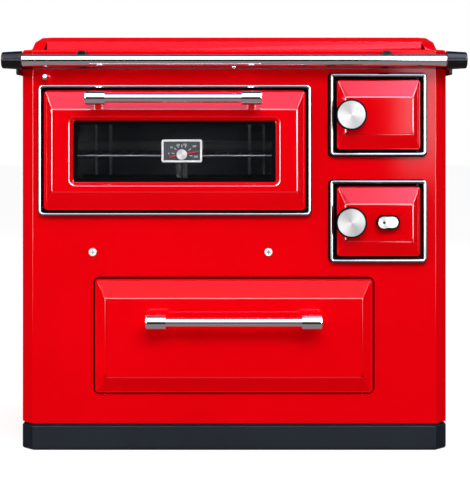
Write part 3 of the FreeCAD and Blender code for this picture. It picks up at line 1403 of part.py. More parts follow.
def make_firebox_shell():
    """Makes the iron shell round the fire and the ash box, with ledges for the grate."""
    body = make_body("firebox_shell")
    plan = rectangle(BOX_LEFT, BOX_RIGHT, BOX_FRONT, BOX_BACK)
    pad(body, "XY_Plane", BOX_FOOT, BOX_TOP, plan)
    well = grown(plan, "-1 * firebox_sheet")
    pocket(body, "XY_Plane", f"{BOX_FOOT} + firebox_sheet", f"{BOX_TOP} + overrun", well)
    mouths = [door_outline(*door, "opening_inset") for door in (FIRE, ASH)]
    pocket(body, "XZ_Plane", f"{BOX_FRONT} - overrun", f"{BOX_FRONT} + firebox_sheet + overrun", *mouths)
    outlet = ("circle", "flue_center_x", "flue_height", "flue_radius - flue_sheet")
    pocket(body, "XZ_Plane", f"{BOX_BACK} - firebox_sheet - overrun", f"{BOX_BACK} + overrun", outlet)
    left = rectangle(
        f"{BOX_LEFT} + firebox_sheet", f"{BOX_LEFT} + firebox_sheet + ledge_reach",
        f"{BOX_FRONT} + firebox_sheet", f"{BOX_FRONT} + back_brick",
    )
    right = rectangle(
        f"{BOX_RIGHT} - firebox_sheet - ledge_reach", f"{BOX_RIGHT} - firebox_sheet",
        f"{BOX_FRONT} + firebox_sheet", f"{BOX_FRONT} + back_brick",
    )
    pad(body, "XY_Plane", "grate_height - ledge_depth", "grate_height", left, right)
    return body


def make_firebricks():
    """Makes the firebrick lining: two sides, the back and the low front brick."""
    foot = GRATE_TOP
    top = f"({BOX_TOP} - brick_top)"
    left = f"{BOX_LEFT} + firebox_sheet"
    right = f"{BOX_RIGHT} - firebox_sheet"
    front = f"{BOX_FRONT} + firebox_sheet"
    back = f"{BOX_FRONT} + back_brick"
    inner_left = f"{left} + brick_depth + brick_joint"
    inner_right = f"{right} - brick_depth - brick_joint"
    sill = "fire_door_bottom + opening_inset"
    bricks = [
        block("brick_left", left, f"{left} + brick_depth", front, back, foot, top),
        block("brick_right", f"{right} - brick_depth", right, front, back, foot, top),
        block("brick_back", inner_left, inner_right, f"{back} - brick_depth", back, foot, top),
        block("brick_front", inner_left, inner_right, front, f"{front} + brick_depth", foot, sill),
    ]
    return group("firebricks", bricks)


def make_grate():
    """Makes the cast grate with its slots."""
    body = make_body("grate")
    outline = rectangle(
        f"{BOX_LEFT} + firebox_sheet + grate_gap", f"{BOX_RIGHT} - firebox_sheet - grate_gap",
        f"{BOX_FRONT} + firebox_sheet + grate_gap", f"{BOX_FRONT} + back_brick",
    )
    pad(body, "XY_Plane", "grate_height", GRATE_TOP, outline)
    inner_left = f"{BOX_LEFT} + firebox_sheet + brick_depth + grate_bar"
    inner_right = f"{BOX_RIGHT} - firebox_sheet - brick_depth - grate_bar"
    slots = []
    for step in range(int(number("grate_slots"))):
        start = f"{BOX_FRONT} + firebox_sheet + brick_depth + grate_bar + (grate_bar + grate_slot) * {step}"
        slots.append(rectangle(inner_left, inner_right, start, f"{start} + grate_slot"))
    pocket(body, "XY_Plane", "grate_height - overrun", f"{GRATE_TOP} + overrun", *slots)
    return body


def make_ash_pan():
    """Makes the ash pan with a grip at its front."""
    half = "(fire_door_width / 2 - opening_inset - ash_pan_gap)"
    foot = f"({BOX_FOOT} + firebox_sheet)"
    front = f"({BOX_FRONT} + firebox_sheet + ash_grip_reach)"
    body = make_body("ash_pan")
    outline = rectangle(f"fire_center - {half}", f"fire_center + {half}", front, f"{front} + ash_pan_depth")
    pad(body, "XY_Plane", foot, f"{foot} + ash_pan_height", outline)
    pocket(
        body, "XY_Plane", f"{foot} + ash_pan_sheet", f"{foot} + ash_pan_height + overrun",
        grown(outline, "-1 * ash_pan_sheet"),
    )
    left = "fire_center - ash_grip_width / 2"
    right = "fire_center + ash_grip_width / 2"
    bar = "ash_pan_sheet * 2"
    outer = f"{front} - ash_grip_reach"
    inner = f"{front} - ash_grip_reach + {bar}"
    grip = [
        (left, front), (left, outer), (right, outer), (right, front),
        (f"{right} - {bar}", front), (f"{right} - {bar}", inner),
        (f"{left} + {bar}", inner), (f"{left} + {bar}", front),
    ]
    middle = f"{foot} + ash_pan_height / 2"
    pad(body, "XY_Plane", middle, f"{middle} + ash_grip_reach", grip)
    return body


def make_flue_collar():
    """Makes the flue collar with its flange on the back panel."""
    profile = [
        ("-1 * panel_sheet", "flue_radius - flue_sheet"),
        ("-1 * panel_sheet", "flue_radius"),
        ("0", "flue_radius"),
        ("0", "flue_radius + flue_flange"),
        ("flue_flange_sheet", "flue_radius + flue_flange"),
        ("flue_flange_sheet", "flue_radius"),
        ("flue_reach", "flue_radius"),
        ("flue_reach", "flue_radius - flue_sheet"),
    ]
    return turned("flue_collar", "y", "flue_center_x", BACK, "flue_height", profile)


def make_damper():
    """Makes the damper: its rod with a ball, and the plate on the rod's end."""
    start = f"({FRONT} - damper_knob_reach)"
    length = "damper_knob_reach + damper_length"
    bar = rod("damper_bar", "y", "damper_radius", "damper_center", start, "damper_height", length)
    ball = doc.addObject("Part::Sphere", "damper_ball")
    tie(ball, Radius="damper_knob_radius")
    place(ball, "damper_center", start, "damper_height")
    plate_back = f"{FRONT} + damper_length"
    plate = block(
        "damper_plate",
        "damper_center + damper_radius * 2", "damper_center + damper_radius * 2 + damper_plate_width",
        f"{plate_back} - damper_sheet", plate_back,
        f"{OVEN_HIGH} + oven_sheet + seat_gap", "damper_height + damper_radius",
    )
    strap = block(
        "damper_strap",
        "damper_center", "damper_center + damper_radius * 2",
        f"{plate_back} - damper_sheet", plate_back,
        "damper_height - damper_radius", "damper_height + damper_radius",
    )
    return fuse("damper_rod", [bar, ball, strap]), plate


# Air regulator


def stadium(name, center, z, wide, tall, y0, y1):
    """Makes a block with half-round ends, between two planes across its thickness."""
    half = f"({wide} - ({tall})) / 2"
    radius = f"({tall}) / 2"
    items = [
        block(
            name + "_middle", f"{center} - {half}", f"{center} + {half}", y0, y1,
            f"{z} - {radius}", f"{z} + {radius}",
        ),
        rod(name + "_left", "y", radius, f"{center} - {half}", y0, z, f"{y1} - ({y0})"),
        rod(name + "_right", "y", radius, f"{center} + {half}", y0, z, f"{y1} - ({y0})"),
    ]
    return fuse(name, items)


def make_air_regulator(ash_front):
    """Makes the air regulator on the ash door, and returns the door with its air slot."""
    center = "(fire_center + air_center)"
    z = "(ash_door_bottom + fire_door_height / 2)"
    front = f"({DOOR_FACE} - air_reach)"
    wide = "air_width"
    half = "(air_width - air_tall) / 2"
    floor = f"({front} + air_plate_sink + air_slider_depth)"
    slot_wide = "(air_travel + air_stem * 2 + seat_gap * 2)"
    slot_tall = "(air_stem * 2 + seat_gap * 2)"
    casing = stadium("air_casing", center, z, wide, "air_tall", front, DOOR_FACE)
    well = stadium(
        "air_well", center, z, "(air_width - air_wall * 2)", "(air_tall - air_wall * 2)",
        f"{front} - overrun", floor,
    )
    stem_start = f"({center} - {half})"
    slot_center = f"({stem_start} + air_travel / 2)"
    slots = []
    for name, y0, y1 in (
        ("air_body_slot", f"{floor} - overrun", f"{DOOR_FACE} + overrun"),
        ("air_plate_slot", f"{front} - overrun", f"{floor} + overrun"),
        ("air_door_slot", f"{DOOR_FACE} - overrun", f"{DOOR_FACE} + door_wall + overrun"),
    ):
        slots.append(stadium(name, slot_center, z, slot_wide, slot_tall, y0, y1))
    body = cut("air_regulator_body", cut("air_casing_well", casing, well), slots[0])
    blank = stadium(
        "air_blank", center, z, "(air_width - air_wall * 2 - seat_gap * 2)",
        "(air_tall - air_wall * 2 - seat_gap * 2)", f"{floor} - air_slider_depth", floor,
    )
    plate = cut("air_plate", blank, slots[1])
    door = cut("ash_door_vented", ash_front, slots[2])
    knob_back = f"({front} - seat_gap)"
    knob_front = f"{knob_back} - air_knob_reach"
    knob = rod("air_knob", "y", "air_knob_radius", stem_start, knob_front, z, "air_knob_reach")
    dot = rod(
        "air_knob_dot", "y", "air_dot_radius", stem_start, f"{knob_front} - overrun", z,
        "air_dot_sink + overrun",
    )
    stem_end = f"{DOOR_FACE} + door_wall + seat_gap + door_wall"
    stem = rod("air_stem_bar", "y", "air_stem", stem_start, knob_back, z, f"{stem_end} - ({knob_back})")
    shutter_y = f"{DOOR_FACE} + door_wall + seat_gap"
    shutter = block(
        "air_shutter", f"{stem_start} - air_stem * 2", f"{stem_start} + {slot_wide}",
        shutter_y, f"{shutter_y} + door_wall", f"{z} - {slot_tall}", f"{z} + {slot_tall}",
    )
    slider = fuse("air_slider", [cut("air_knob_face", knob, dot), stem, shutter])
    return door, body, plate, slider


# Wood drawer

DRAWER_EDGE = f"({FRONT} - drawer_proud)"
DRAWER_FACE = f"({FRONT} - drawer_proud - face_rise)"
DRAWER_BACK = f"({FRONT} - drawer_proud + drawer_edge)"
BOX_HALF = "(drawer_width / 2 - drawer_box_side)"
BOX_BASE = "(drawer_bottom + drawer_box_foot)"


def make_drawer():
    """Makes the drawer's pressed front and the sheet box behind it."""
    front = pressed_front(
        "drawer_front", DRAWER, "drawer_corner", "drawer_bevel_side", "drawer_bevel_top",
        "drawer_bevel_foot", DRAWER_BACK, DRAWER_EDGE, DRAWER_FACE,
    )
    body = make_body("drawer_box")
    plate = door_outline(*DRAWER, "(door_wall + seat_gap)")
    pad(body, "XZ_Plane", f"{DRAWER_BACK} - liner_sheet", DRAWER_BACK, plate)
    round_edges(body, "drawer_corner - door_wall", along("y"))
    plan = rectangle(
        f"drawer_center - {BOX_HALF}", f"drawer_center + {BOX_HALF}",
        DRAWER_BACK, f"{DRAWER_BACK} + drawer_box_depth",
    )
    top = "(drawer_bottom + drawer_tall - drawer_box_top)"
    pad(body, "XY_Plane", BOX_BASE, top, plan)
    inside = grown(plan, "-1 * drawer_sheet")
    pocket(body, "XY_Plane", f"{BOX_BASE} + drawer_sheet", f"{top} + overrun", inside)
    return front, body


def make_drawer_runners():
    """Makes the two bent runners that stand on the base and carry the drawer."""
    sides = []
    start = f"{FRONT} + runner_start"
    end = f"{DRAWER_BACK} + drawer_box_depth"
    floor = f"({PANEL_FOOT} + base_sheet)"
    ledge = f"({BOX_BASE} - seat_gap)"
    for name, sign in (("left", "-"), ("right", "")):
        inner = f"(drawer_center + {sign}1 * ({BOX_HALF} + runner_side_gap))"
        if sign == "-":
            web = (f"{inner} - runner_sheet", inner)
            shelf = (f"{inner} - runner_sheet", f"{inner} + runner_ledge")
            foot = (f"{inner} - runner_foot", inner)
        else:
            web = (inner, f"{inner} + runner_sheet")
            shelf = (f"{inner} - runner_ledge", f"{inner} + runner_sheet")
            foot = (inner, f"{inner} + runner_foot")
        sides.append(fuse(f"runner_{name}", [
            block(f"runner_{name}_web", *web, start, end, floor, f"{ledge} + runner_rise"),
            block(f"runner_{name}_shelf", *shelf, start, end, f"{ledge} - runner_sheet", ledge),
            block(f"runner_{name}_foot", *foot, start, end, floor, f"{floor} + runner_sheet"),
        ]))
    return group("drawer_runners", sides)


# Lid

LID_FRONT = f"({FRONT} + lid_set_back)"
LID_BACK = f"({BACK} - lid_rear_gap)"
LID_FOOT = "(hob_height + lid_gap)"
LID_AXIS_Y = f"({LID_BACK} + lid_axis_back)"
LID_AXIS_Z = "(hob_height + lid_axis_height)"


def lid_plan(side, front_half, front, facet, back):
    """Returns the lid's plan: a front flange, two corner facets, two sides and the back."""
    return [
        (f"-({front_half})", front),
        (front_half, front),
        (side, f"{front} + {facet}"),
        (side, back),
        (f"-({side})", back),
        (f"-({side})", f"{front} + {facet}"),
    ]


# How much of the bevel's width the front corner moves in along the front
LID_CORNER_SHARE = 0.4


def lid_stations(wall):
    """Returns the lid's outlines at its foot, its shoulder and its top, inside a wall."""
    shoulder = f"{LID_FOOT} + lid_flange"
    foot_plan = lid_plan(
        f"lid_half - {wall}", f"lid_front_half + lid_lean - {wall}",
        f"{LID_FRONT} + {wall}", "lid_facet", f"{LID_BACK} - {wall}",
    )
    mid_plan = lid_plan(
        f"lid_half - lid_lean - {wall}", f"lid_front_half - {wall}",
        f"{LID_FRONT} + lid_lean + {wall}", "lid_facet", f"{LID_BACK} - {wall}",
    )
    # The corner's edges stay parallel from the foot to the top, so each facet is flat
    across = "(lid_half - lid_lean - lid_front_half)"
    top_facet = f"lid_facet * ({across} - lid_bevel * (1 - {LID_CORNER_SHARE})) / {across}"
    top_plan = lid_plan(
        f"lid_half - lid_lean - lid_bevel - {wall}",
        f"lid_front_half - lid_bevel * {LID_CORNER_SHARE} - {wall}",
        f"{LID_FRONT} + lid_lean + lid_bevel + {wall}", top_facet, f"{LID_BACK} - lid_bevel - {wall}",
    )
    return [
        (LID_FOOT, foot_plan),
        (f"{shoulder} - {wall}", mid_plan),
        (f"{shoulder} + lid_rise - {wall}", top_plan),
    ]


def make_lid():
    """Makes the pressed lid: a leaning flange, a bevel and a flat top, open below."""
    body = make_body("lid_panel")
    for kind, wall in (("AdditiveLoft", "0"), ("SubtractiveLoft", "lid_sheet")):
        foot, middle, top = lid_stations(wall)
        loft(body, kind, "XY_Plane", [foot, middle])
        loft(body, kind, "XY_Plane", [middle, top])
    shoulder = f"{LID_FOOT} + lid_flange"
    for sign in ("-", ""):
        flip = f"{sign}1 * "
        corner = f"{flip}(lid_front_half)"
        slit = [
            (corner, f"{shoulder} - lid_sheet"),
            (corner, f"{LID_FOOT} - overrun"),
            (f"{flip}(lid_front_half + lid_notch)", f"{LID_FOOT} - overrun"),
        ]
        pocket(body, "XZ_Plane", f"{LID_FRONT} - overrun", f"{LID_FRONT} + lid_facet", slit)
    return body


def make_lid_hinges():
    """Makes the knuckles on the hob frame, and the leaves and pins on the lid."""
    knuckles = []
    leaves = []
    for name, sign in (("left", "-"), ("right", "")):
        middle = f"({sign}1 * lid_hinge_center)"
        start = f"{middle} - lid_knuckle_width / 2"
        end = f"{middle} + lid_knuckle_width / 2"
        barrel = rod(
            f"knuckle_{name}_barrel", "x", "lid_knuckle_radius", start, LID_AXIS_Y, LID_AXIS_Z,
            "lid_knuckle_width",
        )
        foot = block(
            f"knuckle_{name}_foot", start, end,
            f"{LID_AXIS_Y} - lid_knuckle_radius", f"{LID_AXIS_Y} + lid_knuckle_radius",
            "hob_height", LID_AXIS_Z,
        )
        bore = rod(
            f"knuckle_{name}_bore", "x", "lid_pin_radius + pin_clearance",
            f"{start} - overrun", LID_AXIS_Y, LID_AXIS_Z, "lid_knuckle_width + 2 * overrun",
        )
        knuckles.append(cut(f"knuckle_{name}", fuse(f"knuckle_{name}_solid", [barrel, foot]), bore))
        low = f"({start} - lid_leaf_gap - lid_leaf_width)"
        high = f"({end} + lid_leaf_gap)"
        length = f"{high} + lid_leaf_width - {low}"
        items = [rod(f"lid_pin_{name}", "x", "lid_pin_radius", low, LID_AXIS_Y, LID_AXIS_Z, length)]
        for side, x in (("near", low), ("far", high)):
            items.append(block(
                f"lid_leaf_{name}_{side}", x, f"{x} + lid_leaf_width",
                LID_BACK, LID_AXIS_Y, f"{LID_AXIS_Z} - lid_leaf_rise", f"{LID_AXIS_Z} + lid_leaf_rise",
            ))
            items.append(rod(
                f"lid_eye_{name}_{side}", "x", "lid_leaf_rise", x, LID_AXIS_Y, LID_AXIS_Z, "lid_leaf_width",
            ))
        leaves.append(fuse(f"lid_hinge_{name}", items))
    return group("lid_brackets", knuckles), group("lid_hinges", leaves)


# The whole range


def build():
    """Builds every sub-part and returns them under their names."""
    oven_front, oven_liner, oven_glass = make_oven_door()
    oven_form = pressed_front(
        "oven_door_form", OVEN, "oven_corner", "oven_bevel_side", "oven_bevel_top",
        "oven_bevel_foot", DOOR_BACK, EDGE_FACE, DOOR_FACE, solid=True,
    )
    fire_front, fire_liner = make_small_door("fire_door", FIRE)
    ash_pressing, ash_liner = make_small_door("ash_door", ASH)
    ash_front, air_body, air_plate, air_slider = make_air_regulator(ash_pressing)
    case, dial, needle = make_thermometer()
    fire_knob, fire_disc = make_knob("fire_knob", FIRE)
    ash_knob, ash_disc = make_knob("ash_knob", ASH)
    oven_bar, oven_caps = make_handle(
        "oven_handle", "oven_center", "oven_handle_height", DOOR_FACE, "oven_cap_radius", oven_form,
    )
    drawer_bar, drawer_caps = make_handle(
        "drawer_handle", "drawer_center", "drawer_handle_height", DRAWER_FACE, "handle_cap_radius",
    )
    drawer_front, drawer_box = make_drawer()
    damper_rod, damper_plate = make_damper()
    lid_brackets, lid_hinges = make_lid_hinges()
    small_trim = ("fire_trim_corner", "fire_trim_gap", "fire_trim_width", "z")
    return {
        "plinth": make_plinth(),
        "base_plate": make_base_plate(),
        "front_panel": make_front_panel(),
        "side_panel_left": make_side_panel("side_panel_left", "-"),
        "side_panel_right": make_side_panel("side_panel_right", ""),
        "back_panel": make_back_panel(),
        "top_ring": make_top_ring(),
        "hob_frame": make_hob_frame(),
        "hob_plate": make_hob_plate(),
        "hob_cover": make_hob_cover(),
        "rail_tube": make_rail_tube(),
        "rail_cap_left": make_rail_cap("rail_cap_left", "-"),
        "rail_cap_right": make_rail_cap("rail_cap_right", ""),
        "rail_posts": make_rail_posts(),
        "panel_screws": make_panel_screws(),
        "oven_box": make_oven_box(),
        "oven_supports": make_oven_supports(),
        "oven_rack": make_oven_rack(),
        "baking_tray": make_baking_tray(),
        "rope_seals": make_rope_seals(),
        "oven_trim": make_trim("oven_trim", OVEN, "oven_trim_corner", "trim_gap", "trim_width", "x"),
        "fire_trim": make_trim("fire_trim", FIRE, *small_trim),
        "ash_trim": make_trim("ash_trim", ASH, *small_trim),
        "firebox_shell": make_firebox_shell(),
        "firebricks": make_firebricks(),
        "grate": make_grate(),
        "ash_pan": make_ash_pan(),
        "flue_collar": make_flue_collar(),
        "drawer_runners": make_drawer_runners(),
        "lid_brackets": lid_brackets,
        "lid_panel": make_lid(),
        "lid_hinges": lid_hinges,
        "oven_door_front": oven_front,
        "oven_door_liner": oven_liner,
        "oven_glass": oven_glass,
        "oven_hinge_pins": make_pins("oven_hinge_pins", OVEN, "trim_gap", "trim_width", "x"),
        "oven_handle_bar": oven_bar,
        "oven_handle_caps": oven_caps,
        "thermometer_case": case,
        "thermometer_dial": dial,
        "thermometer_needle": needle,
        "fire_door_front": fire_front,
        "fire_door_liner": fire_liner,
        "fire_hinge_pins": make_pins("fire_hinge_pins", FIRE, "fire_trim_gap", "fire_trim_width", "z"),
        "fire_knob": fire_knob,
        "fire_knob_disc": fire_disc,
        "ash_door_front": ash_front,
        "ash_door_liner": ash_liner,
        "ash_hinge_pins": make_pins("ash_hinge_pins", ASH, "fire_trim_gap", "fire_trim_width", "z"),
        "ash_knob": ash_knob,
        "ash_knob_disc": ash_disc,
        "air_regulator_body": air_body,
        "air_plate": air_plate,
        "air_slider": air_slider,
        "drawer_front": drawer_front,
        "drawer_box": drawer_box,
        "drawer_handle_bar": drawer_bar,
        "drawer_handle_caps": drawer_caps,
        "damper_rod": damper_rod,
        "damper_plate": damper_plate,
    }


def check(pieces):
    """Stops if any object failed, any piece is unsound or any cut took nothing away."""
    for item in doc.Objects:
        if "Invalid" in item.State or "Error" in item.State:
            raise ValueError(f"{item.Name} failed: {item.State}")
        if item.TypeId in ("PartDesign::Pocket", "PartDesign::SubtractiveLoft"):
            if item.Shape.Volume >= item.BaseFeature.Shape.Volume:
                raise ValueError(f"{item.Name} cuts nothing")
    for name, piece in pieces.items():
        shape = piece.Shape
        if shape.isNull() or not shape.isValid() or not shape.Solids:
            raise ValueError(f"{name} is not a sound solid")


def main():
    """Builds the range, checks it and writes one file for each piece."""
    pieces = build()
    for name, piece in pieces.items():
        piece.Label = name
    doc.recompute()
    check(pieces)
    os.makedirs("parts", exist_ok=True)
    for name, piece in pieces.items():
        piece.Shape.exportStep(f"parts/{name}.step")
        box = piece.Shape.BoundBox
        lengths = f"{box.XLength:.1f} x {box.YLength:.1f} x {box.ZLength:.1f}"
        print(f"{name}: {len(piece.Shape.Solids)} solids, {lengths}")
    print(len(pieces), "pieces")


main()
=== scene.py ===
# %% [markdown]
# # A red enamelled cooking range
# This file dresses the range that the CAD model built. The CAD solids come in as a fixed
# frame, already in metres, with the front facing -Y and the floor at zero. Each step below
# starts with a few sentences like these, and then does its work in short cells.

# %% Load the frame
import bpy
import bmesh
import math
from mathutils import Matrix, Vector


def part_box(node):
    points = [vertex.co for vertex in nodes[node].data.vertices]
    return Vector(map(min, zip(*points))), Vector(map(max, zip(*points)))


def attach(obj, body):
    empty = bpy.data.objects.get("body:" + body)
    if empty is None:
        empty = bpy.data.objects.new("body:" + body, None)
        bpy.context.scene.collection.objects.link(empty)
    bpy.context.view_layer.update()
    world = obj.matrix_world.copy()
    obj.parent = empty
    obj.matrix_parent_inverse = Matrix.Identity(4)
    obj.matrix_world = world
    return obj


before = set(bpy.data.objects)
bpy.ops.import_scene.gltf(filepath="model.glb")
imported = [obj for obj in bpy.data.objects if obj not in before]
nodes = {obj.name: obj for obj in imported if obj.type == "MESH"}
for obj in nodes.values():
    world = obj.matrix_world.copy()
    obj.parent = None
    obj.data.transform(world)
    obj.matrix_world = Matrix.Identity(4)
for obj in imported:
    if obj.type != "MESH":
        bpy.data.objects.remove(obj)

for name in ("Cube", "Light", "Camera"):
    leftover = bpy.data.objects.get(name)
    if leftover:
        bpy.data.objects.remove(leftover)
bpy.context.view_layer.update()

# %% [markdown]
# ## The camera
# The photograph was taken from straight in front with the camera level, at a little under
# the height of the hob, so upright edges stay upright and the top of the lid is hidden. The
# frame reaches further below that eye line than above it, which a tilted camera would turn
# into leaning edges. A level camera with a lens shift keeps them upright.

# %% Place the camera
EYE = Vector((0.0, -3.25, 0.692))
camera_data = bpy.data.cameras.new("studio_camera")
camera_data.sensor_width = 36
camera_data.lens = 100.2
camera_data.shift_x = 0.0015
camera_data.shift_y = -0.252
camera_data.clip_end = 60
camera = bpy.data.objects.new("studio_camera", camera_data)
camera.location = EYE
camera.rotation_euler = (math.radians(90), 0, 0)
bpy.context.scene.collection.objects.link(camera)
bpy.context.scene.camera = camera
bpy.context.scene.view_settings.view_transform = "Standard"
print("camera at", tuple(EYE), "lens", camera_data.lens)

# %% [markdown]
# ## Writing materials as sums
# A material is a graph of small nodes, and wiring them by hand hides what they work out.
# So one small class holds the value that comes out of a node and lets Python's own signs add
# the Math nodes, and a second class holds a material's graph and makes every other node.

# %% A value inside a material
class Value:
    """A number, colour or vector inside a node graph."""

    def __init__(self, graph, socket):
        self.graph = graph
        self.socket = socket

    def math(self, operation, *others):
        return self.graph.node("ShaderNodeMath", {"operation": operation}, dict(enumerate((self, *others))))

    def swapped(self, operation, other):
        return self.graph.node("ShaderNodeMath", {"operation": operation}, {0: other, 1: self})

    def __add__(self, other):
        return self.math("ADD", other)

    def __radd__(self, other):
        return self.swapped("ADD", other)

    def __sub__(self, other):
        return self.math("SUBTRACT", other)

    def __rsub__(self, other):
        return self.swapped("SUBTRACT", other)

    def __mul__(self, other):
        return self.math("MULTIPLY", other)

    def __rmul__(self, other):
        return self.swapped("MULTIPLY", other)

    def __truediv__(self, other):
        return self.math("DIVIDE", other)


# %% A graph of nodes
class Graph:
    """The node graph of a material or of the world."""

    def __init__(self, tree):
        self.tree = tree
        self.tree.nodes.clear()

    def node(self, kind, settings=None, values=None, out=0):
        """Makes one node: settings first, then the values or links of its sockets."""
        made = self.tree.nodes.new(kind)
        for name, setting in (settings or {}).items():
            setattr(made, name, setting)
        for name, value in (values or {}).items():
            if isinstance(value, Value):
                self.tree.links.new(value.socket, made.inputs[name])
            else:
                made.inputs[name].default_value = value
        return Value(self, made.outputs[out]) if len(made.outputs) else made

    def socket(self, value, name):
        """Returns another output of the node that a value comes from."""
        return Value(self, value.socket.node.outputs[name])

    def split(self, vector):
        """Returns the three parts of a vector."""
        parts = self.node("ShaderNodeSeparateXYZ", values={"Vector": vector})
        return [self.socket(parts, name) for name in "XYZ"]

    def axes(self):
        """Returns the object's own x, y and z, in metres."""
        return self.split(self.node("ShaderNodeTexCoord", out=3))

    def past_outline(self, centre, half, corner):
        """Returns how far a point lies outside a rounded rectangle, seen from the front."""
        x, y, z = self.axes()
        across = (x - centre[0]).math("ABSOLUTE") - (half[0] - corner)
        upward = (z - centre[1]).math("ABSOLUTE") - (half[1] - corner)
        out_x = across.math("MAXIMUM", 0.0)
        out_z = upward.math("MAXIMUM", 0.0)
        outside = (out_x * out_x + out_z * out_z).math("SQRT")
        inside = across.math("MAXIMUM", upward).math("MINIMUM", 0.0)
        return outside + inside - corner

    def noise(self, per_metre, detail=2.0, rough=0.5, stretch=(1, 1, 1)):
        """Returns noise from 0 to 1 with that many bumps to the metre."""
        place = self.node("ShaderNodeTexCoord", out=3)
        place = self.node("ShaderNodeMapping", values={"Vector": place, "Scale": stretch})
        return self.node(
            "ShaderNodeTexNoise", {"noise_dimensions": "3D"},
            {"Vector": place, "Scale": per_metre, "Detail": detail, "Roughness": rough},
        )

    def step(self, value, low, high):
        """Returns 0 below low, 1 above high and a smooth slope between them."""
        return self.node(
            "ShaderNodeMapRange", {"interpolation_type": "SMOOTHSTEP"},
            {"Value": value, "From Min": low, "From Max": high},
        )

    def mix(self, factor, first, second):
        """Blends two colours."""
        return self.node("ShaderNodeMix", {"data_type": "RGBA"}, {0: factor, 6: first, 7: second}, out=2)

    def bump(self, height, depth):
        """Returns a normal from a height of 0 to 1 that stands for a depth in metres."""
        return self.node("ShaderNodeBump", values={"Height": height, "Strength": 1.0, "Distance": depth})


print("classes ready")

# %% [markdown]
# ## The studio
# A glossy red front looks red only where it mirrors something dark, and a polished tube looks
# polished only where it mirrors something bright. So the studio has a dark wall behind the
# camera, a large white ceiling in front, pale side walls with tall bright strips, a softbox
# low on the right and a pale floor. The world carries that room for what shines, and plain
# even light for the rest. Heights and turns are angles in degrees, seen from the range.

# %% The room around the range
world = bpy.data.worlds.new("studio")
world.use_nodes = True
bpy.context.scene.world = world
room = Graph(world.node_tree)
toward = room.node("ShaderNodeTexCoord", out=0)
east, north, up = room.split(toward)
height = up.math("ARCSINE") * (180 / math.pi)
turn = east.math("ARCTAN2", north * -1) * (180 / math.pi)
side = turn.math("ABSOLUTE")
ahead = room.step(side, 108, 92)


def window_in(low, high, soft, value):
    """Returns 1 where a value lies between two limits, with soft ends."""
    return room.step(value, low - soft, low + soft) * room.step(value, high + soft, high - soft)


ceiling = room.step(height, 13, 19) * room.step(height, 81, 75) * ahead
wall_start = 17 - 8 * room.step(turn, -5, 5)
side_wall = room.step(side - wall_start, -3, 6) * room.step(side, 66, 56) * room.step(height, -8, 2)
strips = window_in(26, 46, 2, side) * window_in(-5, 45, 4, height)
softbox = room.step(turn, 6.2, 7.4) * room.step(turn, 16, 12)
softbox = softbox * room.step(height, -3.2, 0.2) * room.step(height, 14, 8)
small_lamps = window_in(13, 17, 1, side) * window_in(-2, 8, 1, height)
ground = room.step(height, -15, -22)
overhead = ((1 - ahead) * room.step(height, 8, 40)).math("MAXIMUM", room.step(height, 75, 81))
sky = room.mix(room.step(height, 35, 48), (2.7, 2.65, 2.8, 1), (2.7, 2.6, 4.3, 1))
brighter = 1 + 1.3 * room.step(turn, 7, 14) * room.step(height, 35, 48)
sky = room.node("ShaderNodeVectorMath", {"operation": "SCALE"}, {"Vector": sky, "Scale": brighter})
paths = room.node("ShaderNodeLightPath")
glossy = room.socket(paths, "Is Glossy Ray")
seen = room.socket(paths, "Is Camera Ray").math("MAXIMUM", room.socket(paths, "Is Transmission Ray"))
white = room.mix(ceiling.math("MAXIMUM", side_wall * 0.42), (0.012, 0.012, 0.014, 1), sky)
white = room.mix(ground, white, (0.27, 0.235, 0.24, 1))
white = room.mix(overhead, white, (0.03, 0.13, 0.18, 1))
white = room.mix(softbox, white, (4.2, 4.1, 4.5, 1))
lamps = room.mix(room.step(height, 12, 18), (13, 13, 13.5, 1), (32, 32, 33, 1))
white = room.mix(strips, white, lamps)
white = room.mix(small_lamps, white, (13.0, 12.0, 11.5, 1))
plain = 0.42 + 0.24 * room.step(up, -0.2, 0.9)
evenly = room.node("ShaderNodeCombineColor", values={0: plain, 1: plain, 2: plain})
colour = room.mix(glossy, evenly, white)
colour = room.mix(seen, colour, (1, 1, 1, 1))
background = room.node("ShaderNodeBackground", values={"Color": colour, "Strength": 1.0})
room.node("ShaderNodeOutputWorld", values={"Surface": background})
print("world nodes:", len(world.node_tree.nodes))

# %% [markdown]
# The key light is a large soft panel above and in front. It gives the soft shadow under the
# rail and the handles. It is hidden from reflections, because the room already shows a
# ceiling there, and two bright ceilings would wash the red out.

# %% The key light and the fill
def soft_panel(name, place, target, width, tall, watts):
    """Adds one rectangular lamp that only lights, and isn't mirrored."""
    lamp = bpy.data.lights.new(name, "AREA")
    lamp.shape = "RECTANGLE"
    lamp.size = width
    lamp.size_y = tall
    lamp.energy = watts
    holder = bpy.data.objects.new(name, lamp)
    holder.location = place
    holder.rotation_euler = (Vector(target) - Vector(place)).to_track_quat("-Z", "Y").to_euler()
    holder.visible_glossy = False
    bpy.context.scene.collection.objects.link(holder)


soft_panel("key_panel", (0.5, -3.5, 2.50), (0, -0.3, 0.5), 2.6, 1.2, 92)
soft_panel("left_panel", (-3.0, -1.6, 1.4), (0, -0.2, 0.5), 1.2, 1.8, 26)
soft_panel("back_panel_light", (1.5, 3.2, 2.6), (0, 0.2, 0.5), 2.0, 1.4, 60)

# %% [markdown]
# ## The floor
# The floor is one large pale sheet. Seen by the camera it is nearly white by its own colour,
# with a share of plain diffuse so that the range still throws a soft shadow on it.

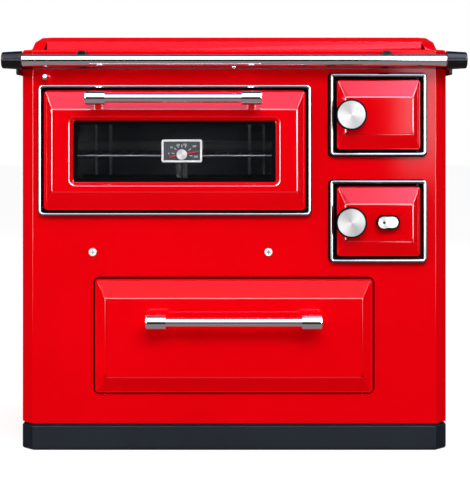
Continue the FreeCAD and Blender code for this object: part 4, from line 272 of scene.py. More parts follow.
# %% Lay the floor
sheet_mesh = bpy.data.meshes.new("studio_floor")
bm = bmesh.new()
bmesh.ops.create_grid(bm, x_segments=1, y_segments=1, size=20)
bm.to_mesh(sheet_mesh)
bm.free()
floor = bpy.data.objects.new("studio_floor", sheet_mesh)
bpy.context.scene.collection.objects.link(floor)
floor.visible_glossy = False
pale = bpy.data.materials.new("studio_floor")
pale.use_nodes = True
sheet = Graph(pale.node_tree)
rays = sheet.node("ShaderNodeLightPath")
looked_at = sheet.socket(rays, "Is Camera Ray").math("MAXIMUM", sheet.socket(rays, "Is Transmission Ray"))
matte = sheet.node("ShaderNodeBsdfDiffuse", values={"Color": (0.42, 0.42, 0.42, 1)})
lit = sheet.node("ShaderNodeEmission", values={"Color": (1, 1, 1, 1), "Strength": 0.70 * looked_at})
both = sheet.node("ShaderNodeAddShader", values={0: matte, 1: lit})
sheet.node("ShaderNodeOutputMaterial", values={"Surface": both})
floor.data.materials.append(pale)
print("floor size:", tuple(floor.dimensions))

# %% [markdown]
# ## A base for every finish
# All the finishes share one shader, so one helper makes it. What is the same all over a piece
# is set straight on the shader, and what changes over the surface comes in as a value.

# %% One helper for the shader
def finish(name, build, **fixed):
    """Makes a material: fixed values on the shader, then what build(graph) returns."""
    made = bpy.data.materials.new(name)
    made.use_nodes = True
    graph = Graph(made.node_tree)
    values = dict(fixed)
    values.update(build(graph))
    shader = graph.node("ShaderNodeBsdfPrincipled", values=values)
    graph.node("ShaderNodeOutputMaterial", values={"Surface": shader})
    return made


def grey(level):
    """Returns a neutral colour."""
    return (level, level, level, 1.0)


# %% [markdown]
# ## Red enamel
# The panels and doors are pressed steel with a fired glass coat. The colour is very even, but
# the coat is a thick liquid when it is fired, so it keeps a faint orange-peel ripple and a
# few pinholes and fine dust. A clear coat gives the sharp mirror, and the colour below it is
# softer. Flat red with no ripple would look like plastic foil. On slopes that look down the
# coat is set weaker, because the floor would wash them out. The rounded creases get a red of
# their own with a stronger mirror, so that they catch the lamps as fine white lines.

# %% Make the red enamel
def outline_of(name, corner):
    """Returns the middle, half size and corner radius of a piece's front outline."""
    low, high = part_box(name)
    centre = (low + high) / 2
    half = (high - low) / 2
    return (centre.x, centre.z), (half.x, half.z), corner


def red_enamel(name, outline=None, coat=1.0, coat_index=1.37, peel=0.00006):
    """Makes the red enamel, with a black rim painted along an outline as shade in the gap round a front."""
    def layers(graph):
        cloud = graph.noise(6.0, detail=3.0)
        grain = graph.noise(900.0, detail=1.0)
        ripple = graph.noise(230.0, detail=2.0)
        specks = graph.step(graph.noise(1600.0, detail=0.0), 0.72, 0.80)
        colour = graph.mix(cloud, (0.74, 0.0, 0.0022, 1), (0.84, 0.0, 0.0045, 1))
        colour = graph.mix(specks * 0.35, colour, (0.50, 0.0, 0.002, 1))
        rough = 0.30 + 0.12 * grain
        facing = graph.split(graph.node("ShaderNodeNewGeometry", out=3))[2]
        shine = coat * (0.2 + 0.8 * graph.step(facing, -0.35, -0.10))
        if outline:
            # painted shade: a black rim with no coat along the front's outline stands for the shade in the
            # gap round it
            edge = graph.step(graph.past_outline(*outline), -0.0016, -0.0011)
            colour = graph.mix(edge, colour, (0.003, 0.003, 0.0035, 1))
            shine = shine * (1 - edge)
        return {
            "Base Color": colour,
            "Roughness": rough,
            "Coat Weight": shine,
            "Normal": graph.bump(ripple * 0.6 + grain * 0.4, peel),
        }
    return finish(name, layers, **{"Coat Roughness": 0.05, "Coat IOR": coat_index, "Specular IOR Level": 0.0})


DOOR_CORNERS = {"oven_door_front": 0.010, "fire_door_front": 0.0075, "ash_door_front": 0.0075}
EDGE_PEEL = 0.00002
drawer_outline = outline_of("drawer_front", 0.0010)
panel_red = red_enamel("panel_red")
drawer_red = red_enamel("drawer_red", drawer_outline, coat=0.36)
lid_red = red_enamel("lid_red", coat=0.35)
door_reds = {
    name: red_enamel(name.replace("front", "red"), outline_of(name, corner))
    for name, corner in DOOR_CORNERS.items()
}
edge_reds = {
    name: red_enamel(name.replace("front", "edge"), outline_of(name, corner), coat_index=2.4, peel=EDGE_PEEL)
    for name, corner in DOOR_CORNERS.items()
}
edge_reds["drawer_front"] = red_enamel("drawer_edge", drawer_outline, coat_index=2.1, peel=EDGE_PEEL)
edge_reds["lid_panel"] = red_enamel("lid_edge", coat=0.4, coat_index=1.5, peel=EDGE_PEEL)
print("reds:", 3 + len(door_reds) + len(edge_reds))

# %% [markdown]
# ## Dark enamels
# The plinth is a dark slate enamel, the oven is lined with a nearly black one that has the
# fine pale specks of oven enamel, and the inner sheets are plain satin black. The oven's rear
# wall has two pressed ribs on each side, too shallow for a shape of their own, so the light
# they catch is painted on as pale lines. A pale band of painted light lies across its middle.

# %% Make the dark enamels
def dark_enamel(name, base, speck, amount, rough, coat):
    """Makes a dark enamel with a share of fine pale specks."""
    def layers(graph):
        cloud = graph.noise(9.0, detail=3.0)
        dots = graph.step(graph.noise(1100.0, detail=0.0), 0.66, 0.72)
        darker = tuple(part * 0.8 for part in base[:3]) + (1,)
        colour = graph.mix(cloud, darker, base)
        colour = graph.mix(dots * amount, colour, speck)
        ripple = graph.noise(260.0, detail=2.0)
        return {
            "Base Color": colour,
            "Roughness": rough + 0.1 * cloud,
            "Normal": graph.bump(ripple, 0.00005),
        }
    return finish(name, layers, **{"Coat Weight": coat, "Coat Roughness": 0.08, "Specular IOR Level": 0.15})


slate_enamel = dark_enamel(
    "slate_enamel", (0.0045, 0.0068, 0.0100, 1), (0.03, 0.04, 0.05, 1), 0.25, 0.40, 0.03,
)
OVEN_MIDDLE = -0.1320
OUTER_RIB = 0.2040
INNER_RIB = 0.1690
LIGHT_BAND_HEIGHT = 0.6370


def oven_wall_layers(graph):
    x, y, z = graph.axes()
    cloud = graph.noise(9.0, detail=3.0)
    haze = graph.noise(3.5, detail=3.0, stretch=(0.4, 1, 2.5))
    dots = graph.step(graph.noise(1100.0, detail=0.0), 0.66, 0.72)
    rear = graph.step(y, 0.120, 0.135)
    outward = (x - OVEN_MIDDLE).math("ABSOLUTE")
    # painted light: pale lines along the ribs where they catch the light, and a pale band of light across the
    # rear wall's middle
    outer_rib = graph.step((outward - OUTER_RIB).math("ABSOLUTE"), 0.0035, 0.0012)
    inner_rib = graph.step((outward - INNER_RIB).math("ABSOLUTE"), 0.0050, 0.0014)
    band = graph.step((z - LIGHT_BAND_HEIGHT).math("ABSOLUTE"), 0.0170, 0.0020)
    pale = (0.15 + 0.60 * haze) * band + outer_rib.math("MAXIMUM", inner_rib)
    colour = graph.mix(cloud, (0.022, 0.028, 0.032, 1), (0.034, 0.041, 0.046, 1))
    colour = graph.mix((pale * rear).math("MINIMUM", 1.0), colour, (0.75, 0.77, 0.80, 1))
    colour = graph.mix(dots * 0.5, colour, (0.12, 0.13, 0.14, 1))
    return {
        "Base Color": colour,
        "Roughness": 0.24 + 0.10 * cloud,
        "Normal": graph.bump(graph.noise(260.0, detail=2.0), 0.00005),
    }


oven_wall = finish("oven_wall", oven_wall_layers, **{"Coat Weight": 0.4, "Coat Roughness": 0.10})
black_enamel = dark_enamel("black_enamel", (0.006, 0.006, 0.007, 1), (0.03, 0.03, 0.03, 1), 0.2, 0.45, 0.2)
oven_enamel = dark_enamel("oven_enamel", (0.011, 0.012, 0.014, 1), (0.20, 0.21, 0.22, 1), 0.7, 0.22, 0.6)
print("enamels:", panel_red.name, slate_enamel.name, black_enamel.name, oven_enamel.name)

# %% [markdown]
# ## Polished and brushed metal
# The rail, the handles and the trims are plated tube and strip, polished until they mirror,
# with fine wiping scratches along their length. Zinc-coated sheet has the cloudy pattern of
# its crystals, and turned faces carry fine rings, with the bright fans they spread painted on.

# %% Make the plain metals
def metal(name, colour, rough, wobble, scratch, stretch, depth):
    """Makes a metal with scratches drawn out along an axis."""
    def layers(graph):
        lines = graph.noise(scratch, detail=3.0, rough=0.6, stretch=stretch)
        haze = graph.noise(14.0, detail=2.0)
        dim = tuple(part * 0.93 for part in colour[:3]) + (1,)
        return {
            "Base Color": graph.mix(haze, dim, colour),
            "Roughness": rough + wobble * lines,
            "Normal": graph.bump(lines, depth),
        }
    return finish(name, layers, **{"Metallic": 1.0})


chrome = metal("chrome", (0.86, 0.87, 0.88, 1), 0.05, 0.06, 900.0, (0.04, 1, 1), 0.000004)
steel_wire = metal("steel_wire", (0.22, 0.23, 0.24, 1), 0.30, 0.10, 700.0, (1, 0.1, 1), 0.00001)
pin_steel = metal("pin_steel", (0.012, 0.012, 0.013, 1), 0.38, 0.10, 800.0, (1, 1, 0.1), 0.00001)


def zinc_layers(graph):
    place = graph.node("ShaderNodeTexCoord", out=3)
    cells = graph.node(
        "ShaderNodeTexVoronoi", {"feature": "F1"}, {"Vector": place, "Scale": 55.0}, out=1,
    )
    tone = graph.node("ShaderNodeRGBToBW", values={"Color": cells})
    fine = graph.noise(500.0, detail=2.0)
    return {
        "Base Color": graph.mix(tone, (0.36, 0.37, 0.38, 1), (0.54, 0.55, 0.56, 1)),
        "Roughness": 0.34 + 0.14 * tone + 0.05 * fine,
        "Normal": graph.bump(fine, 0.00001),
    }


zinc_steel = finish("zinc_steel", zinc_layers, **{"Metallic": 1.0})
print("plain metals:", chrome.name, steel_wire.name, pin_steel.name, zinc_steel.name)

# %% Make the cross-head screws' steel
screws_low, screws_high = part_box("panel_screws")
screws_middle = (screws_low + screws_high) / 2
SCREW_RADIUS = (screws_high.z - screws_low.z) / 2
SCREW_SPREAD = (screws_high.x - screws_low.x) / 2 - SCREW_RADIUS


def cross_head_layers(graph):
    x, y, z = graph.axes()
    across = ((x - screws_middle.x).math("ABSOLUTE") - SCREW_SPREAD).math("ABSOLUTE")
    upward = (z - screws_middle.z).math("ABSOLUTE")
    reach = (across * across + upward * upward).math("SQRT")
    # painted shade: the cross slot and a ring along the head's edge are painted dark
    slot_shade = graph.step(across.math("MINIMUM", upward), 0.0011, 0.0007) * graph.step(reach, 0.0050, 0.0044)
    rim = graph.step(reach, SCREW_RADIUS - 0.0016, SCREW_RADIUS - 0.0006)
    fine = graph.noise(900.0, detail=2.0)
    silver = graph.mix(fine, grey(0.62), grey(0.80))
    return {
        "Base Color": graph.mix((slot_shade * 0.8).math("MAXIMUM", rim * 0.7), silver, grey(0.03)),
        "Metallic": 0.75 - 0.5 * slot_shade,
        "Roughness": 0.36 + 0.08 * fine,
    }


screw_steel = finish("screw_steel", cross_head_layers)
print("screw radius:", round(SCREW_RADIUS, 4))

# %% [markdown]
# A turned face mirrors the light in two opposite fans, because each ring is a tiny groove.
# The shader is told nothing of the camera: the fans are painted highlights, a brightness in the
# colour that changes with the angle round the centre, which is how such a face looks under two
# side lamps. The knobs' faces end in a dark rim, and the air slide's face has a dark dot in its middle.

# %% Make the turned faces
GROOVES = 9000.0
RIM_START = 0.0284


def round_axis(graph, centre):
    """Returns the distance from an axis along Y through centre (x, z), and the angle round it."""
    x, y, z = graph.axes()
    across = x - centre[0]
    upward = z - centre[1]
    return (across * across + upward * upward).math("SQRT"), upward.math("ARCTAN2", across)


def painted_fans(angle, lean):
    """Returns two opposite painted highlight fans, turned by lean."""
    return (angle * 2.0 - lean).math("COSINE") * 0.5 + 0.5


def turned_face(name, centre, low, high):
    """Makes a spun metal face round an axis along Y through centre (x, z), with painted highlight fans and a
    dark rim.
    """
    def layers(graph):
        reach, angle = round_axis(graph, centre)
        groove = (reach * GROOVES).math("SINE") * 0.5 + 0.5
        fine = graph.noise(1500.0, detail=1.0)
        tone = painted_fans(angle, 1.05) * 0.8 + fine * 0.2
        rim = graph.step(reach, RIM_START, RIM_START + 0.0006)
        return {
            "Base Color": graph.mix(rim, graph.mix(tone, low, high), (0.004, 0.006, 0.007, 1)),
            "Metallic": 0.75 - 0.75 * rim,
            "Roughness": 0.30 + 0.10 * groove,
            "Normal": graph.bump(groove, 0.000012),
        }
    return finish(name, layers)


def middle(name):
    """Returns the middle of a node's box."""
    low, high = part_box(name)
    return (low + high) / 2


faces = {}
for name in ("fire_knob_disc", "ash_knob_disc"):
    spot = middle(name)
    faces[name] = turned_face(
        "spun_" + name, (spot.x, spot.z), (0.31, 0.32, 0.32, 1), (0.63, 0.63, 0.61, 1),
    )
print("turned faces:", len(faces))

# %% Turn the knob on the air slide
slide_knob = (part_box("air_slider")[0].x + 0.0123, middle("air_slider").z)


def slide_layers(graph):
    reach, angle = round_axis(graph, slide_knob)
    groove = (reach * GROOVES).math("SINE") * 0.5 + 0.5
    dot = graph.step(reach, 0.0034, 0.0029)
    # painted highlight: two bright fans on the slide's knob
    metal_tone = graph.mix(painted_fans(angle, 0.6), (0.50, 0.51, 0.50, 1), (0.86, 0.86, 0.84, 1))
    return {
        "Base Color": graph.mix(dot, metal_tone, (0.004, 0.004, 0.004, 1)),
        "Metallic": 0.75 - 0.75 * dot,
        "Roughness": 0.28 + 0.10 * groove,
        "Normal": graph.bump(groove, 0.000012),
    }


faces["air_slider"] = finish("spun_air_slider", slide_layers)
print("slide knob at", tuple(round(v, 4) for v in slide_knob))


# %% Make the regulator's satin plate
def satin_layers(graph):
    lines = graph.noise(1200.0, detail=2.0, stretch=(0.05, 1, 1))
    return {
        "Base Color": graph.mix(lines, grey(0.58), grey(0.72)),
        "Roughness": 0.30 + 0.15 * lines,
        "Normal": graph.bump(lines, 0.000008),
    }


satin_aluminium = finish("satin_aluminium", satin_layers, **{"Metallic": 0.9})
print("plate:", satin_aluminium.name)

# %% [markdown]
# ## The door trims
# Each door lies in a frame of polished strip. The strip is drawn to a low bead, so it never
# mirrors one thing: its middle is bright from the lamps, and its two slopes mirror dark. The
# near-black slopes are a painted dark reflection, and the strip's dim teal-grey is painted
# reflection too. The bead is far finer than the frame, so it is a bump that follows the frame's outline.

# %% Make the trims
def trim_metal(name, node, corner, bar, dark_reflection_edge):
    """Makes polished strip with a beaded face that follows a frame's outline, with painted dark reflections
    on its slopes.
    """
    outline = outline_of(node, corner)

    def layers(graph):
        depth = graph.past_outline(*outline) * (-1 / bar)
        bead = depth * (1 - depth) * 4
        # painted reflection: the bead's two slopes are painted near black, and the strip is tinted a dim
        # teal-grey
        outer = graph.step(depth, dark_reflection_edge + 0.10, dark_reflection_edge)
        inner = graph.step(depth, 0.86, 0.96)
        painted_dark = outer.math("MAXIMUM", inner)
        fine = graph.noise(900.0, detail=2.0)
        bright = graph.mix(graph.noise(60.0, detail=2.0), (0.30, 0.37, 0.38, 1), (0.40, 0.45, 0.45, 1))
        return {
            "Base Color": graph.mix(painted_dark, bright, grey(0.004)),
            "Metallic": 1 - painted_dark,
            "Roughness": 0.09 + 0.02 * fine,
            "Normal": graph.bump(bead, 0.0020),
        }
    return finish(name, layers)


trims = {
    "oven_trim": trim_metal("oven_trim_chrome", "oven_trim", 0.0105, 0.007, 0.20),
    "fire_trim": trim_metal("fire_trim_chrome", "fire_trim", 0.0085, 0.008, 0.30),
    "ash_trim": trim_metal("ash_trim_chrome", "ash_trim", 0.0085, 0.008, 0.22),
}
print("trims:", len(trims))

# %% [markdown]
# ## The oven thermometer
# The thermometer hangs behind the glass. It has a bright pressed rim with legs painted dark as
# shade, a slate dial with white marks and plain numbers, and a red pointer with a turned boss
# in its middle, whose bright fans are painted highlights.

# %% Make the thermometer's finishes
DIAL_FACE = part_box("thermometer_dial")[0].y
PIVOT = Vector((-0.1108, DIAL_FACE, 0.6276))
LEG_SHADE_BELOW = 0.6110


def rim_layers(graph):
    fine = graph.noise(700.0, detail=2.0)
    # painted shade: the rim's legs below this height are painted nearly black
    shaded_legs = graph.step(graph.axes()[2], LEG_SHADE_BELOW, LEG_SHADE_BELOW - 0.0008)
    return {
        "Base Color": graph.mix(shaded_legs, graph.mix(fine, grey(0.80), grey(0.96)), grey(0.012)),
        "Roughness": 0.30 + 0.15 * fine,
    }


def dial_layers(graph):
    cloud = graph.noise(60.0, detail=2.0)
    fine = graph.noise(1500.0, detail=1.0)
    return {
        "Base Color": graph.mix(cloud, (0.014, 0.021, 0.026, 1), (0.021, 0.030, 0.036, 1)),
        "Roughness": 0.55 + 0.1 * fine,
    }


def needle_layers(graph):
    reach, angle = round_axis(graph, (PIVOT.x, PIVOT.z))
    boss = graph.step(reach, 0.0113, 0.0109)
    # painted highlight: bright fans on the pointer's boss
    silver = graph.mix(painted_fans(angle, 1.2), grey(0.62), grey(0.95))
    return {
        "Base Color": graph.mix(boss, (0.72, 0.012, 0.008, 1), silver),
        "Metallic": boss * 0.5,
        "Roughness": 0.45 - 0.1 * boss,
    }


gauge = {
    "thermometer_case": finish("gauge_rim", rim_layers, **{"Metallic": 0.35}),
    "thermometer_dial": finish("gauge_dial", dial_layers),
    "thermometer_needle": finish("gauge_needle", needle_layers),
}
print("gauge pivot:", tuple(round(v, 4) for v in PIVOT))

# %% [markdown]
# ## Black heat-proof plastic, cast iron, brick and rope
# The rail caps and posts are moulded in hard black plastic with a high polish, and the knobs
# and the regulator's body in a dull one. Cast iron is grainy and dull, firebrick is
# pale and pitted, and the door seals are plaited glass rope.

# %% Make the plastic, the iron, the brick and the rope
def plastic_layers(graph):
    haze = graph.noise(40.0, detail=2.0)
    fine = graph.noise(700.0, detail=1.0)
    return {
        "Base Color": graph.mix(haze, (0.0035, 0.004, 0.005, 1), (0.006, 0.007, 0.009, 1)),
        "Roughness": 0.10 + 0.08 * haze + 0.03 * fine,
        "Normal": graph.bump(fine, 0.000005),
    }


black_plastic = finish("black_plastic", plastic_layers, **{"Specular IOR Level": 0.22})


def knob_layers(graph):
    haze = graph.noise(40.0, detail=2.0)
    fine = graph.noise(700.0, detail=1.0)
    return {
        "Base Color": graph.mix(haze, (0.0022, 0.0045, 0.0058, 1), (0.0035, 0.007, 0.009, 1)),
        "Roughness": 0.42 + 0.10 * haze + 0.03 * fine,
        "Normal": graph.bump(fine, 0.000005),
    }


knob_plastic = finish("knob_plastic", knob_layers, **{"Specular IOR Level": 0.0})


def iron_layers(graph):
    grain = graph.noise(800.0, detail=4.0, rough=0.7)
    rings = graph.noise(30.0, detail=3.0)
    return {
        "Base Color": graph.mix(rings, grey(0.020), grey(0.050)),
        "Roughness": 0.42 + 0.2 * grain,
        "Metallic": 0.55 + 0.2 * rings,
        "Normal": graph.bump(grain, 0.00012),
    }


cast_iron = finish("cast_iron", iron_layers)


def brick_layers(graph):
    grain = graph.noise(160.0, detail=5.0, rough=0.7)
    patch = graph.noise(18.0, detail=3.0)
    pits = graph.step(graph.noise(420.0, detail=1.0), 0.64, 0.70)
    colour = graph.mix(patch, (0.50, 0.37, 0.22, 1), (0.66, 0.54, 0.38, 1))
    colour = graph.mix(pits * 0.7, colour, (0.22, 0.16, 0.10, 1))
    return {
        "Base Color": colour,
        "Roughness": 0.85 + 0.1 * grain,
        "Normal": graph.bump(grain - pits * 0.6, 0.0005),
    }


firebrick = finish("firebrick", brick_layers)


def rope_layers(graph):
    place = graph.node("ShaderNodeTexCoord", out=3)
    weave = graph.node(
        "ShaderNodeTexWave", {"wave_type": "BANDS", "bands_direction": "DIAGONAL"},
        {"Vector": place, "Scale": 70.0, "Distortion": 2.0, "Detail": 2.0},
    )
    fibre = graph.noise(900.0, detail=3.0)
    tone = Value(graph, weave.socket.node.outputs[1])
    return {
        "Base Color": graph.mix(tone, (0.20, 0.19, 0.17, 1), (0.48, 0.46, 0.42, 1)),
        "Roughness": 0.85 + 0.1 * fibre,
        "Normal": graph.bump(tone * 0.7 + fibre * 0.3, 0.0006),
    }


glass_rope = finish("glass_rope", rope_layers)
print("dull finishes:", black_plastic.name, cast_iron.name, firebrick.name, glass_rope.name)

# %% [markdown]
# ## The oven window
# The window is a plate of clear glass with a black band fired onto its back, which hides the
# glue and the edge of the opening. The band is a matter of colour and not of shape, so one
# material does both: it is solid in a band along the edges, and nearly clear inside it.

# %% Make the window glass
glass_low, glass_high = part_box("oven_glass")
BAND = 0.0175
BAND_SOFT = 0.0004


def window_layers(graph):
    x, y, z = graph.axes()
    centre = (glass_low + glass_high) / 2
    half = (glass_high - glass_low) / 2
    in_x = half.x - (x - centre.x).math("ABSOLUTE")
    in_z = half.z - (z - centre.z).math("ABSOLUTE")
    band = 1 - graph.step(in_x.math("MINIMUM", in_z), BAND - BAND_SOFT, BAND + BAND_SOFT)
    dust = graph.noise(120.0, detail=3.0)
    return {
        "Base Color": graph.mix(band, (0.010, 0.013, 0.016, 1), (0.003, 0.003, 0.004, 1)),
        "Alpha": 0.10 + 0.90 * band,
        "Roughness": 0.03 + 0.05 * dust,
    }


window_glass = finish("window_glass", window_layers, **{"Specular IOR Level": 0.6})
print("window band:", BAND)

# %% [markdown]
# ## Dressing the CAD pieces
# Each CAD piece keeps its mesh and gets its finish. Pressed steel has no sharp edges, and a
# mitre only shows as a bright line because its edge is rounded and catches a lamp. So the
# pressed fronts and the lid also get two modifiers: one joins their loose triangles, and the
# next rounds their long straight creases, which are marked with a weight. Short edges of
# curved corners are left out, because a bevel wider than the edge would throw up spikes.

# %% Give every piece its finish
FINISHES = {
    panel_red: "front_panel side_panel_left side_panel_right",
    lid_red: "hob_frame lid_panel",
    drawer_red: "drawer_front",
    slate_enamel: "plinth",
    black_enamel: "base_plate top_ring firebox_shell drawer_box",
    oven_wall: "oven_box",
    oven_enamel: "baking_tray oven_door_liner fire_door_liner ash_door_liner",
    cast_iron: "hob_plate hob_cover grate flue_collar",
    chrome: """rail_tube oven_handle_bar drawer_handle_bar oven_handle_caps
        drawer_handle_caps damper_rod lid_brackets lid_hinges""",
    steel_wire: "oven_supports oven_rack",
    black_plastic: "rail_cap_left rail_cap_right rail_posts",
    knob_plastic: "fire_knob ash_knob air_regulator_body",
    screw_steel: "panel_screws",
    zinc_steel: "back_panel ash_pan drawer_runners damper_plate",
    pin_steel: "oven_hinge_pins fire_hinge_pins ash_hinge_pins",
    satin_aluminium: "air_plate",
    glass_rope: "rope_seals",
    firebrick: "firebricks",
    window_glass: "oven_glass",
}
FINISHES = {material: names.split() for material, names in FINISHES.items()}


def dress(piece, material):
    """Puts one material on every face of a piece."""
    while len(piece.data.materials) > 1:
        piece.data.materials.pop()
    if len(piece.data.materials) == 0:
        piece.data.materials.append(material)
    piece.data.materials[0] = material


for material, names in FINISHES.items():
    for name in names:
        dress(nodes[name], material)
single = {**faces, **door_reds, **trims, **gauge}
for name, material in single.items():
    dress(nodes[name], material)
nodes["rail_tube"].visible_glossy = False  # the door fronts show no second rail
bare = set(nodes) - {name for names in FINISHES.values() for name in names} - set(single)
print("dressed:", len(nodes) - len(bare), "left bare:", sorted(bare))

# %% Find the creases of a pressed piece
JOIN = 0.00002
TINY = 0.0001
SHARP = math.radians(15)
LONG = 0.04
FROM_RIM = 0.0060
FRONT_DEPTH = 0.0170


def place_of(point):
    """Returns a point's place in tenths of a millimetre, to match edges by place."""
    return tuple(round(part * 10000) for part in point)


def creases(piece):
    """Finds the long straight creases of a pressed piece, and any crease on its front face."""
    low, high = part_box(piece.name)
    bm = bmesh.new()
    bm.from_mesh(piece.data)
    bmesh.ops.remove_doubles(bm, verts=bm.verts, dist=JOIN)
    found = set()
    for edge in bm.edges:
        if len(edge.link_faces) != 2 or edge.calc_face_angle() < SHARP:
            continue
        first, second = (corner.co for corner in edge.verts)
        run = [abs(part) for part in second - first]
        straight = max(run[0], run[2]) > LONG and sum(run) - max(run) < TINY
        rim = min(first.x - low.x, high.x - first.x, first.z - low.z, high.z - first.z)
        in_front = first.y < low.y + FRONT_DEPTH
        on_face = max(first.y, second.y) < low.y + TINY
        if (straight and in_front and rim > FROM_RIM) or on_face:
            found.add(frozenset((place_of(first), place_of(second))))
    bm.free()
    return found


# %% Round the creases of the pressed pieces
def soften(piece, width):
    """Adds the modifiers that join a CAD piece's triangles and round its creases."""
    found = creases(piece)
    weights = piece.data.attributes.new("bevel_weight_edge", "FLOAT", "EDGE")
    corners = piece.data.vertices
    for edge in piece.data.edges:
        ends = frozenset(place_of(corners[index].co) for index in edge.vertices)
        weights.data[edge.index].value = 1.0 if ends in found else 0.0
    weld = piece.modifiers.new("join", "WELD")
    weld.merge_threshold = JOIN
    bevel = piece.modifiers.new("round", "BEVEL")
    bevel.width = width
    bevel.segments = 3
    bevel.limit_method = "WEIGHT"
    bevel.use_clamp_overlap = False
    bevel.harden_normals = True
    bevel.material = 1
    piece.data.materials.append(edge_reds[piece.name])
    print(piece.name, "creases:", len(found))


ROUNDING = 0.0017
for name in edge_reds:
    soften(nodes[name], ROUNDING)

# %% [markdown]
# ## Door gaskets and gap shade
# Between each door and its trim lies a black rubber strip, whose black also stands in for the
# shade in that gap. It is a flat rounded frame: a sheet with rounded corners, inset once, with its
# middle taken out. It is kept thin, so that a door's edge at the hinge clears it when the door opens.
# The two small trims also lie on a thin black seal, which shows as a dark line along their outside;
# it is made wider on the left, where it stands in for the shade of the gap beside the trim.

# %% Helpers for new pieces
def new_piece(name, bm, material, body):
    """Makes an object from a mesh, dresses it and lets it ride on a body."""
    bmesh.ops.remove_doubles(bm, verts=bm.verts, dist=1e-6)
    bmesh.ops.recalc_face_normals(bm, faces=bm.faces)
    mesh = bpy.data.meshes.new(name)
    bm.to_mesh(mesh)
    bm.free()
    piece = bpy.data.objects.new(name, mesh)
    piece.data.materials.append(material)
    bpy.context.scene.collection.objects.link(piece)
    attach(piece, body)
    return piece


def frame_mesh(centre, half, corner, width, front, back):
    """Returns a flat rounded frame between two depths."""
    bm = bmesh.new()
    bmesh.ops.create_grid(bm, x_segments=1, y_segments=1, size=1)
    bmesh.ops.scale(bm, vec=(half[0], half[1], 1), verts=bm.verts)
    bmesh.ops.bevel(
        bm, geom=bm.verts[:], offset=corner, offset_type="OFFSET", segments=6, profile=0.5,
        affect="VERTICES", material=-1,
    )
    bmesh.ops.inset_region(bm, faces=bm.faces[:], thickness=width, use_even_offset=True, use_boundary=True)
    core = max(bm.faces, key=lambda face: face.calc_area())
    bmesh.ops.delete(bm, geom=[core], context="FACES_ONLY")
    grown = bmesh.ops.extrude_face_region(bm, geom=bm.faces[:])
    moved = [part for part in grown["geom"] if isinstance(part, bmesh.types.BMVert)]
    bmesh.ops.translate(bm, vec=(0, 0, back - front), verts=moved)
    upright = Matrix.Rotation(math.radians(-90), 3, "X")
    bmesh.ops.rotate(bm, cent=(0, 0, 0), matrix=upright, verts=bm.verts)
    bmesh.ops.translate(bm, vec=(centre[0], front, centre[1]), verts=bm.verts)
    return bm


def rubber_layers(graph):
    fine = graph.noise(500.0, detail=3.0)
    return {
        "Base Color": graph.mix(fine, grey(0.003), grey(0.006)),
        "Roughness": 0.75 + 0.1 * fine,
        "Normal": graph.bump(fine, 0.00008),
    }


gap_shade_rubber = finish("gap_shade_rubber", rubber_layers, **{"Specular IOR Level": 0.04})

# %% Lay the gaskets
PANEL_FACE = -0.300
GASKET_FRONT = PANEL_FACE - 0.0016
GASKET_BACK = PANEL_FACE - 0.0002
UNDER_DOOR = 0.006
for name, gap in (("oven", 0.0045), ("fire", 0.0055), ("ash", 0.0055)):
    centre, half, corner = outline_of(name + "_door_front", 0.009)
    room_for = gap - 0.0003
    half = (half[0] + room_for, half[1] + room_for)
    # the gasket's black also stands in for the shade in the gap round the door
    bm = frame_mesh(centre, half, corner, room_for + UNDER_DOOR, GASKET_FRONT, GASKET_BACK)
    gasket = new_piece(name + "_gasket_and_gap_shade", bm, gap_shade_rubber, "cabinet")
    print(gasket.name, [round(v, 4) for v in gasket.dimensions], "faces:", len(gasket.data.polygons))

# %% Lay the black seals under the small trims
# each seal reaches far further on the left than on the right, as a dark stand-in for the shade in the gap
# there
for name, left, right, rise in (("fire", 0.0044, 0.0004, 0.0017), ("ash", 0.0034, 0.0004, 0.0006)):
    centre, half, corner = outline_of(name + "_trim", 0.0095)
    centre = (centre[0] + (right - left) / 2, centre[1])
    half = (half[0] + (left + right) / 2, half[1] + rise)
    bm = frame_mesh(centre, half, corner, 0.008, PANEL_FACE - 0.0015, PANEL_FACE - 0.0001)
    seal = new_piece(name + "_trim_seal_and_gap_shade", bm, gap_shade_rubber, "cabinet")
    print(seal.name, [round(v, 4) for v in seal.dimensions])

# %% [markdown]
# ## The lips in the regulator's slot
# The slot that the regulator's stem slides in is closed by two thin pale lips that meet in the
# middle, so that the plate looks unbroken beside the knob. Real lips bend round the stem.
# These don't: the stem passes through them, hidden by the knob's head.

# %% Close the slot
LIP_START = slide_knob[0] + 0.0020
LIP_END = slide_knob[0] + 0.0186
LIP_DEPTH = 0.0004
LIP_HEIGHT = 0.0014
LIP_OFFSET = 0.00075
lip_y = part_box("air_plate")[0].y + LIP_DEPTH
bm = bmesh.new()
for sign in (-1, 1):
    lip = bmesh.ops.create_cube(bm, size=1)["verts"]
    bmesh.ops.scale(bm, vec=(LIP_END - LIP_START, LIP_DEPTH, LIP_HEIGHT), verts=lip)
    place = ((LIP_END + LIP_START) / 2, lip_y, slide_knob[1] + sign * LIP_OFFSET)
    bmesh.ops.translate(bm, verts=lip, vec=place)
lips = new_piece("slide_lips", bm, satin_aluminium, "ash_door")
print(lips.name, [round(v, 4) for v in lips.dimensions])

# %% [markdown]
# ## The marks on the dial
# The marks are thin white strokes that point at the pivot, with plain numbers beside them.
# They stand a hair proud of the dial, as thick printing does.

# %% Print the dial
def paint_layers(graph):
    fine = graph.noise(2000.0, detail=1.0)
    return {
        "Base Color": graph.mix(fine, grey(0.88), grey(0.98)),
        "Roughness": 0.5 + 0.1 * fine,
    }


dial_paint = finish("dial_paint", paint_layers)
PROUD = 0.0003
PRINT_Y = DIAL_FACE - PROUD * 0.5
STROKE_LONG = 0.0062
STROKE_WIDE = 0.0011
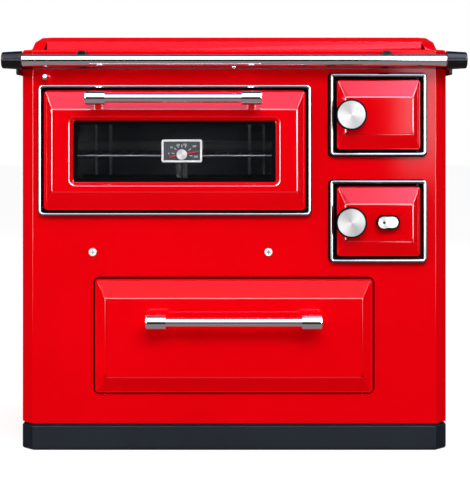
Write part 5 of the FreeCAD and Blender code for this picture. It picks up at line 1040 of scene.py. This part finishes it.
# Each mark's angle in degrees and its start from the pivot
MARKS = ((172, 0.0155), (140, 0.0150), (115, 0.0160), (90, 0.0150), (65, 0.0160), (32, 0.0165), (-8, 0.0165))
bm = bmesh.new()
for degrees, start in MARKS:
    stroke = bmesh.ops.create_cube(bm, size=1)["verts"]
    bmesh.ops.scale(bm, vec=(STROKE_LONG, PROUD, STROKE_WIDE), verts=stroke)
    bmesh.ops.translate(bm, vec=(start + STROKE_LONG / 2, 0, 0), verts=stroke)
    turned = Matrix.Rotation(math.radians(-degrees), 3, "Y")
    bmesh.ops.rotate(bm, cent=(0, 0, 0), matrix=turned, verts=stroke)
bmesh.ops.translate(bm, vec=(PIVOT.x, PRINT_Y, PIVOT.z), verts=bm.verts)
new_piece("dial_marks", bm, dial_paint, "oven_door")
print("marks:", len(MARKS))

# %% Print the numbers
# Each number, its angle in degrees and its distance from the pivot
NUMBERS = (("0", 176, 0.0275), ("50", 146, 0.0265), ("100", 112, 0.0215), ("150", 74, 0.0215),
           ("200", 33, 0.0315), ("250", -9, 0.0300))
for number, degrees, reach in NUMBERS:
    words = bpy.data.curves.new("dial_number_" + number, "FONT")
    words.body = number
    words.size = 0.0055
    words.extrude = PROUD / 2
    words.align_x = "CENTER"
    words.align_y = "CENTER"
    holder = bpy.data.objects.new("dial_number_" + number, words)
    mesh = bpy.data.meshes.new_from_object(holder)
    bpy.data.objects.remove(holder)
    bm = bmesh.new()
    bm.from_mesh(mesh)
    angle = math.radians(degrees)
    bmesh.ops.rotate(bm, cent=(0, 0, 0), matrix=Matrix.Rotation(math.radians(90), 3, "X"), verts=bm.verts)
    place = (PIVOT.x + reach * math.cos(angle), PRINT_Y, PIVOT.z + reach * math.sin(angle))
    bmesh.ops.translate(bm, verts=bm.verts, vec=place)
    new_piece("dial_number_" + number, bm, dial_paint, "oven_door")
print("numbers:", len(NUMBERS))

# %% [markdown]
# ## The screw under the rail
# A small domed screw holds the hob frame to the panel, right behind the middle of the rail.

# %% Turn the screw
RAIL_SCREW = (-0.001, PANEL_FACE, 0.8142)
SCREW_DOME = 0.0055


def screw_layers(graph):
    x, y, z = graph.axes()
    # painted shade: the screw's slot is painted nearly black
    slot_shade = graph.step((x - RAIL_SCREW[0]).math("ABSOLUTE"), 0.0011, 0.0008)
    slot_shade = slot_shade * graph.step(z, RAIL_SCREW[2] + 0.0004, RAIL_SCREW[2] + 0.0010)
    fine = graph.noise(900.0, detail=2.0)
    return {
        "Base Color": graph.mix(slot_shade, grey(0.85), grey(0.01)),
        "Metallic": 1 - slot_shade,
        "Roughness": 0.10 + 0.06 * fine,
    }


bm = bmesh.new()
bmesh.ops.create_uvsphere(bm, u_segments=32, v_segments=16, radius=SCREW_DOME)
bmesh.ops.bisect_plane(
    bm, geom=bm.verts[:] + bm.edges[:] + bm.faces[:], plane_co=(0, 0, 0), plane_no=(0, 1, 0),
    clear_outer=True,
)
bmesh.ops.scale(bm, vec=(1, 0.6, 1), verts=bm.verts)
bmesh.ops.translate(bm, vec=RAIL_SCREW, verts=bm.verts)
for face in bm.faces:
    face.smooth = True
screw = new_piece("rail_screw", bm, finish("rail_screw_steel", screw_layers), "cabinet")
print(screw.name, [round(v, 4) for v in screw.dimensions])
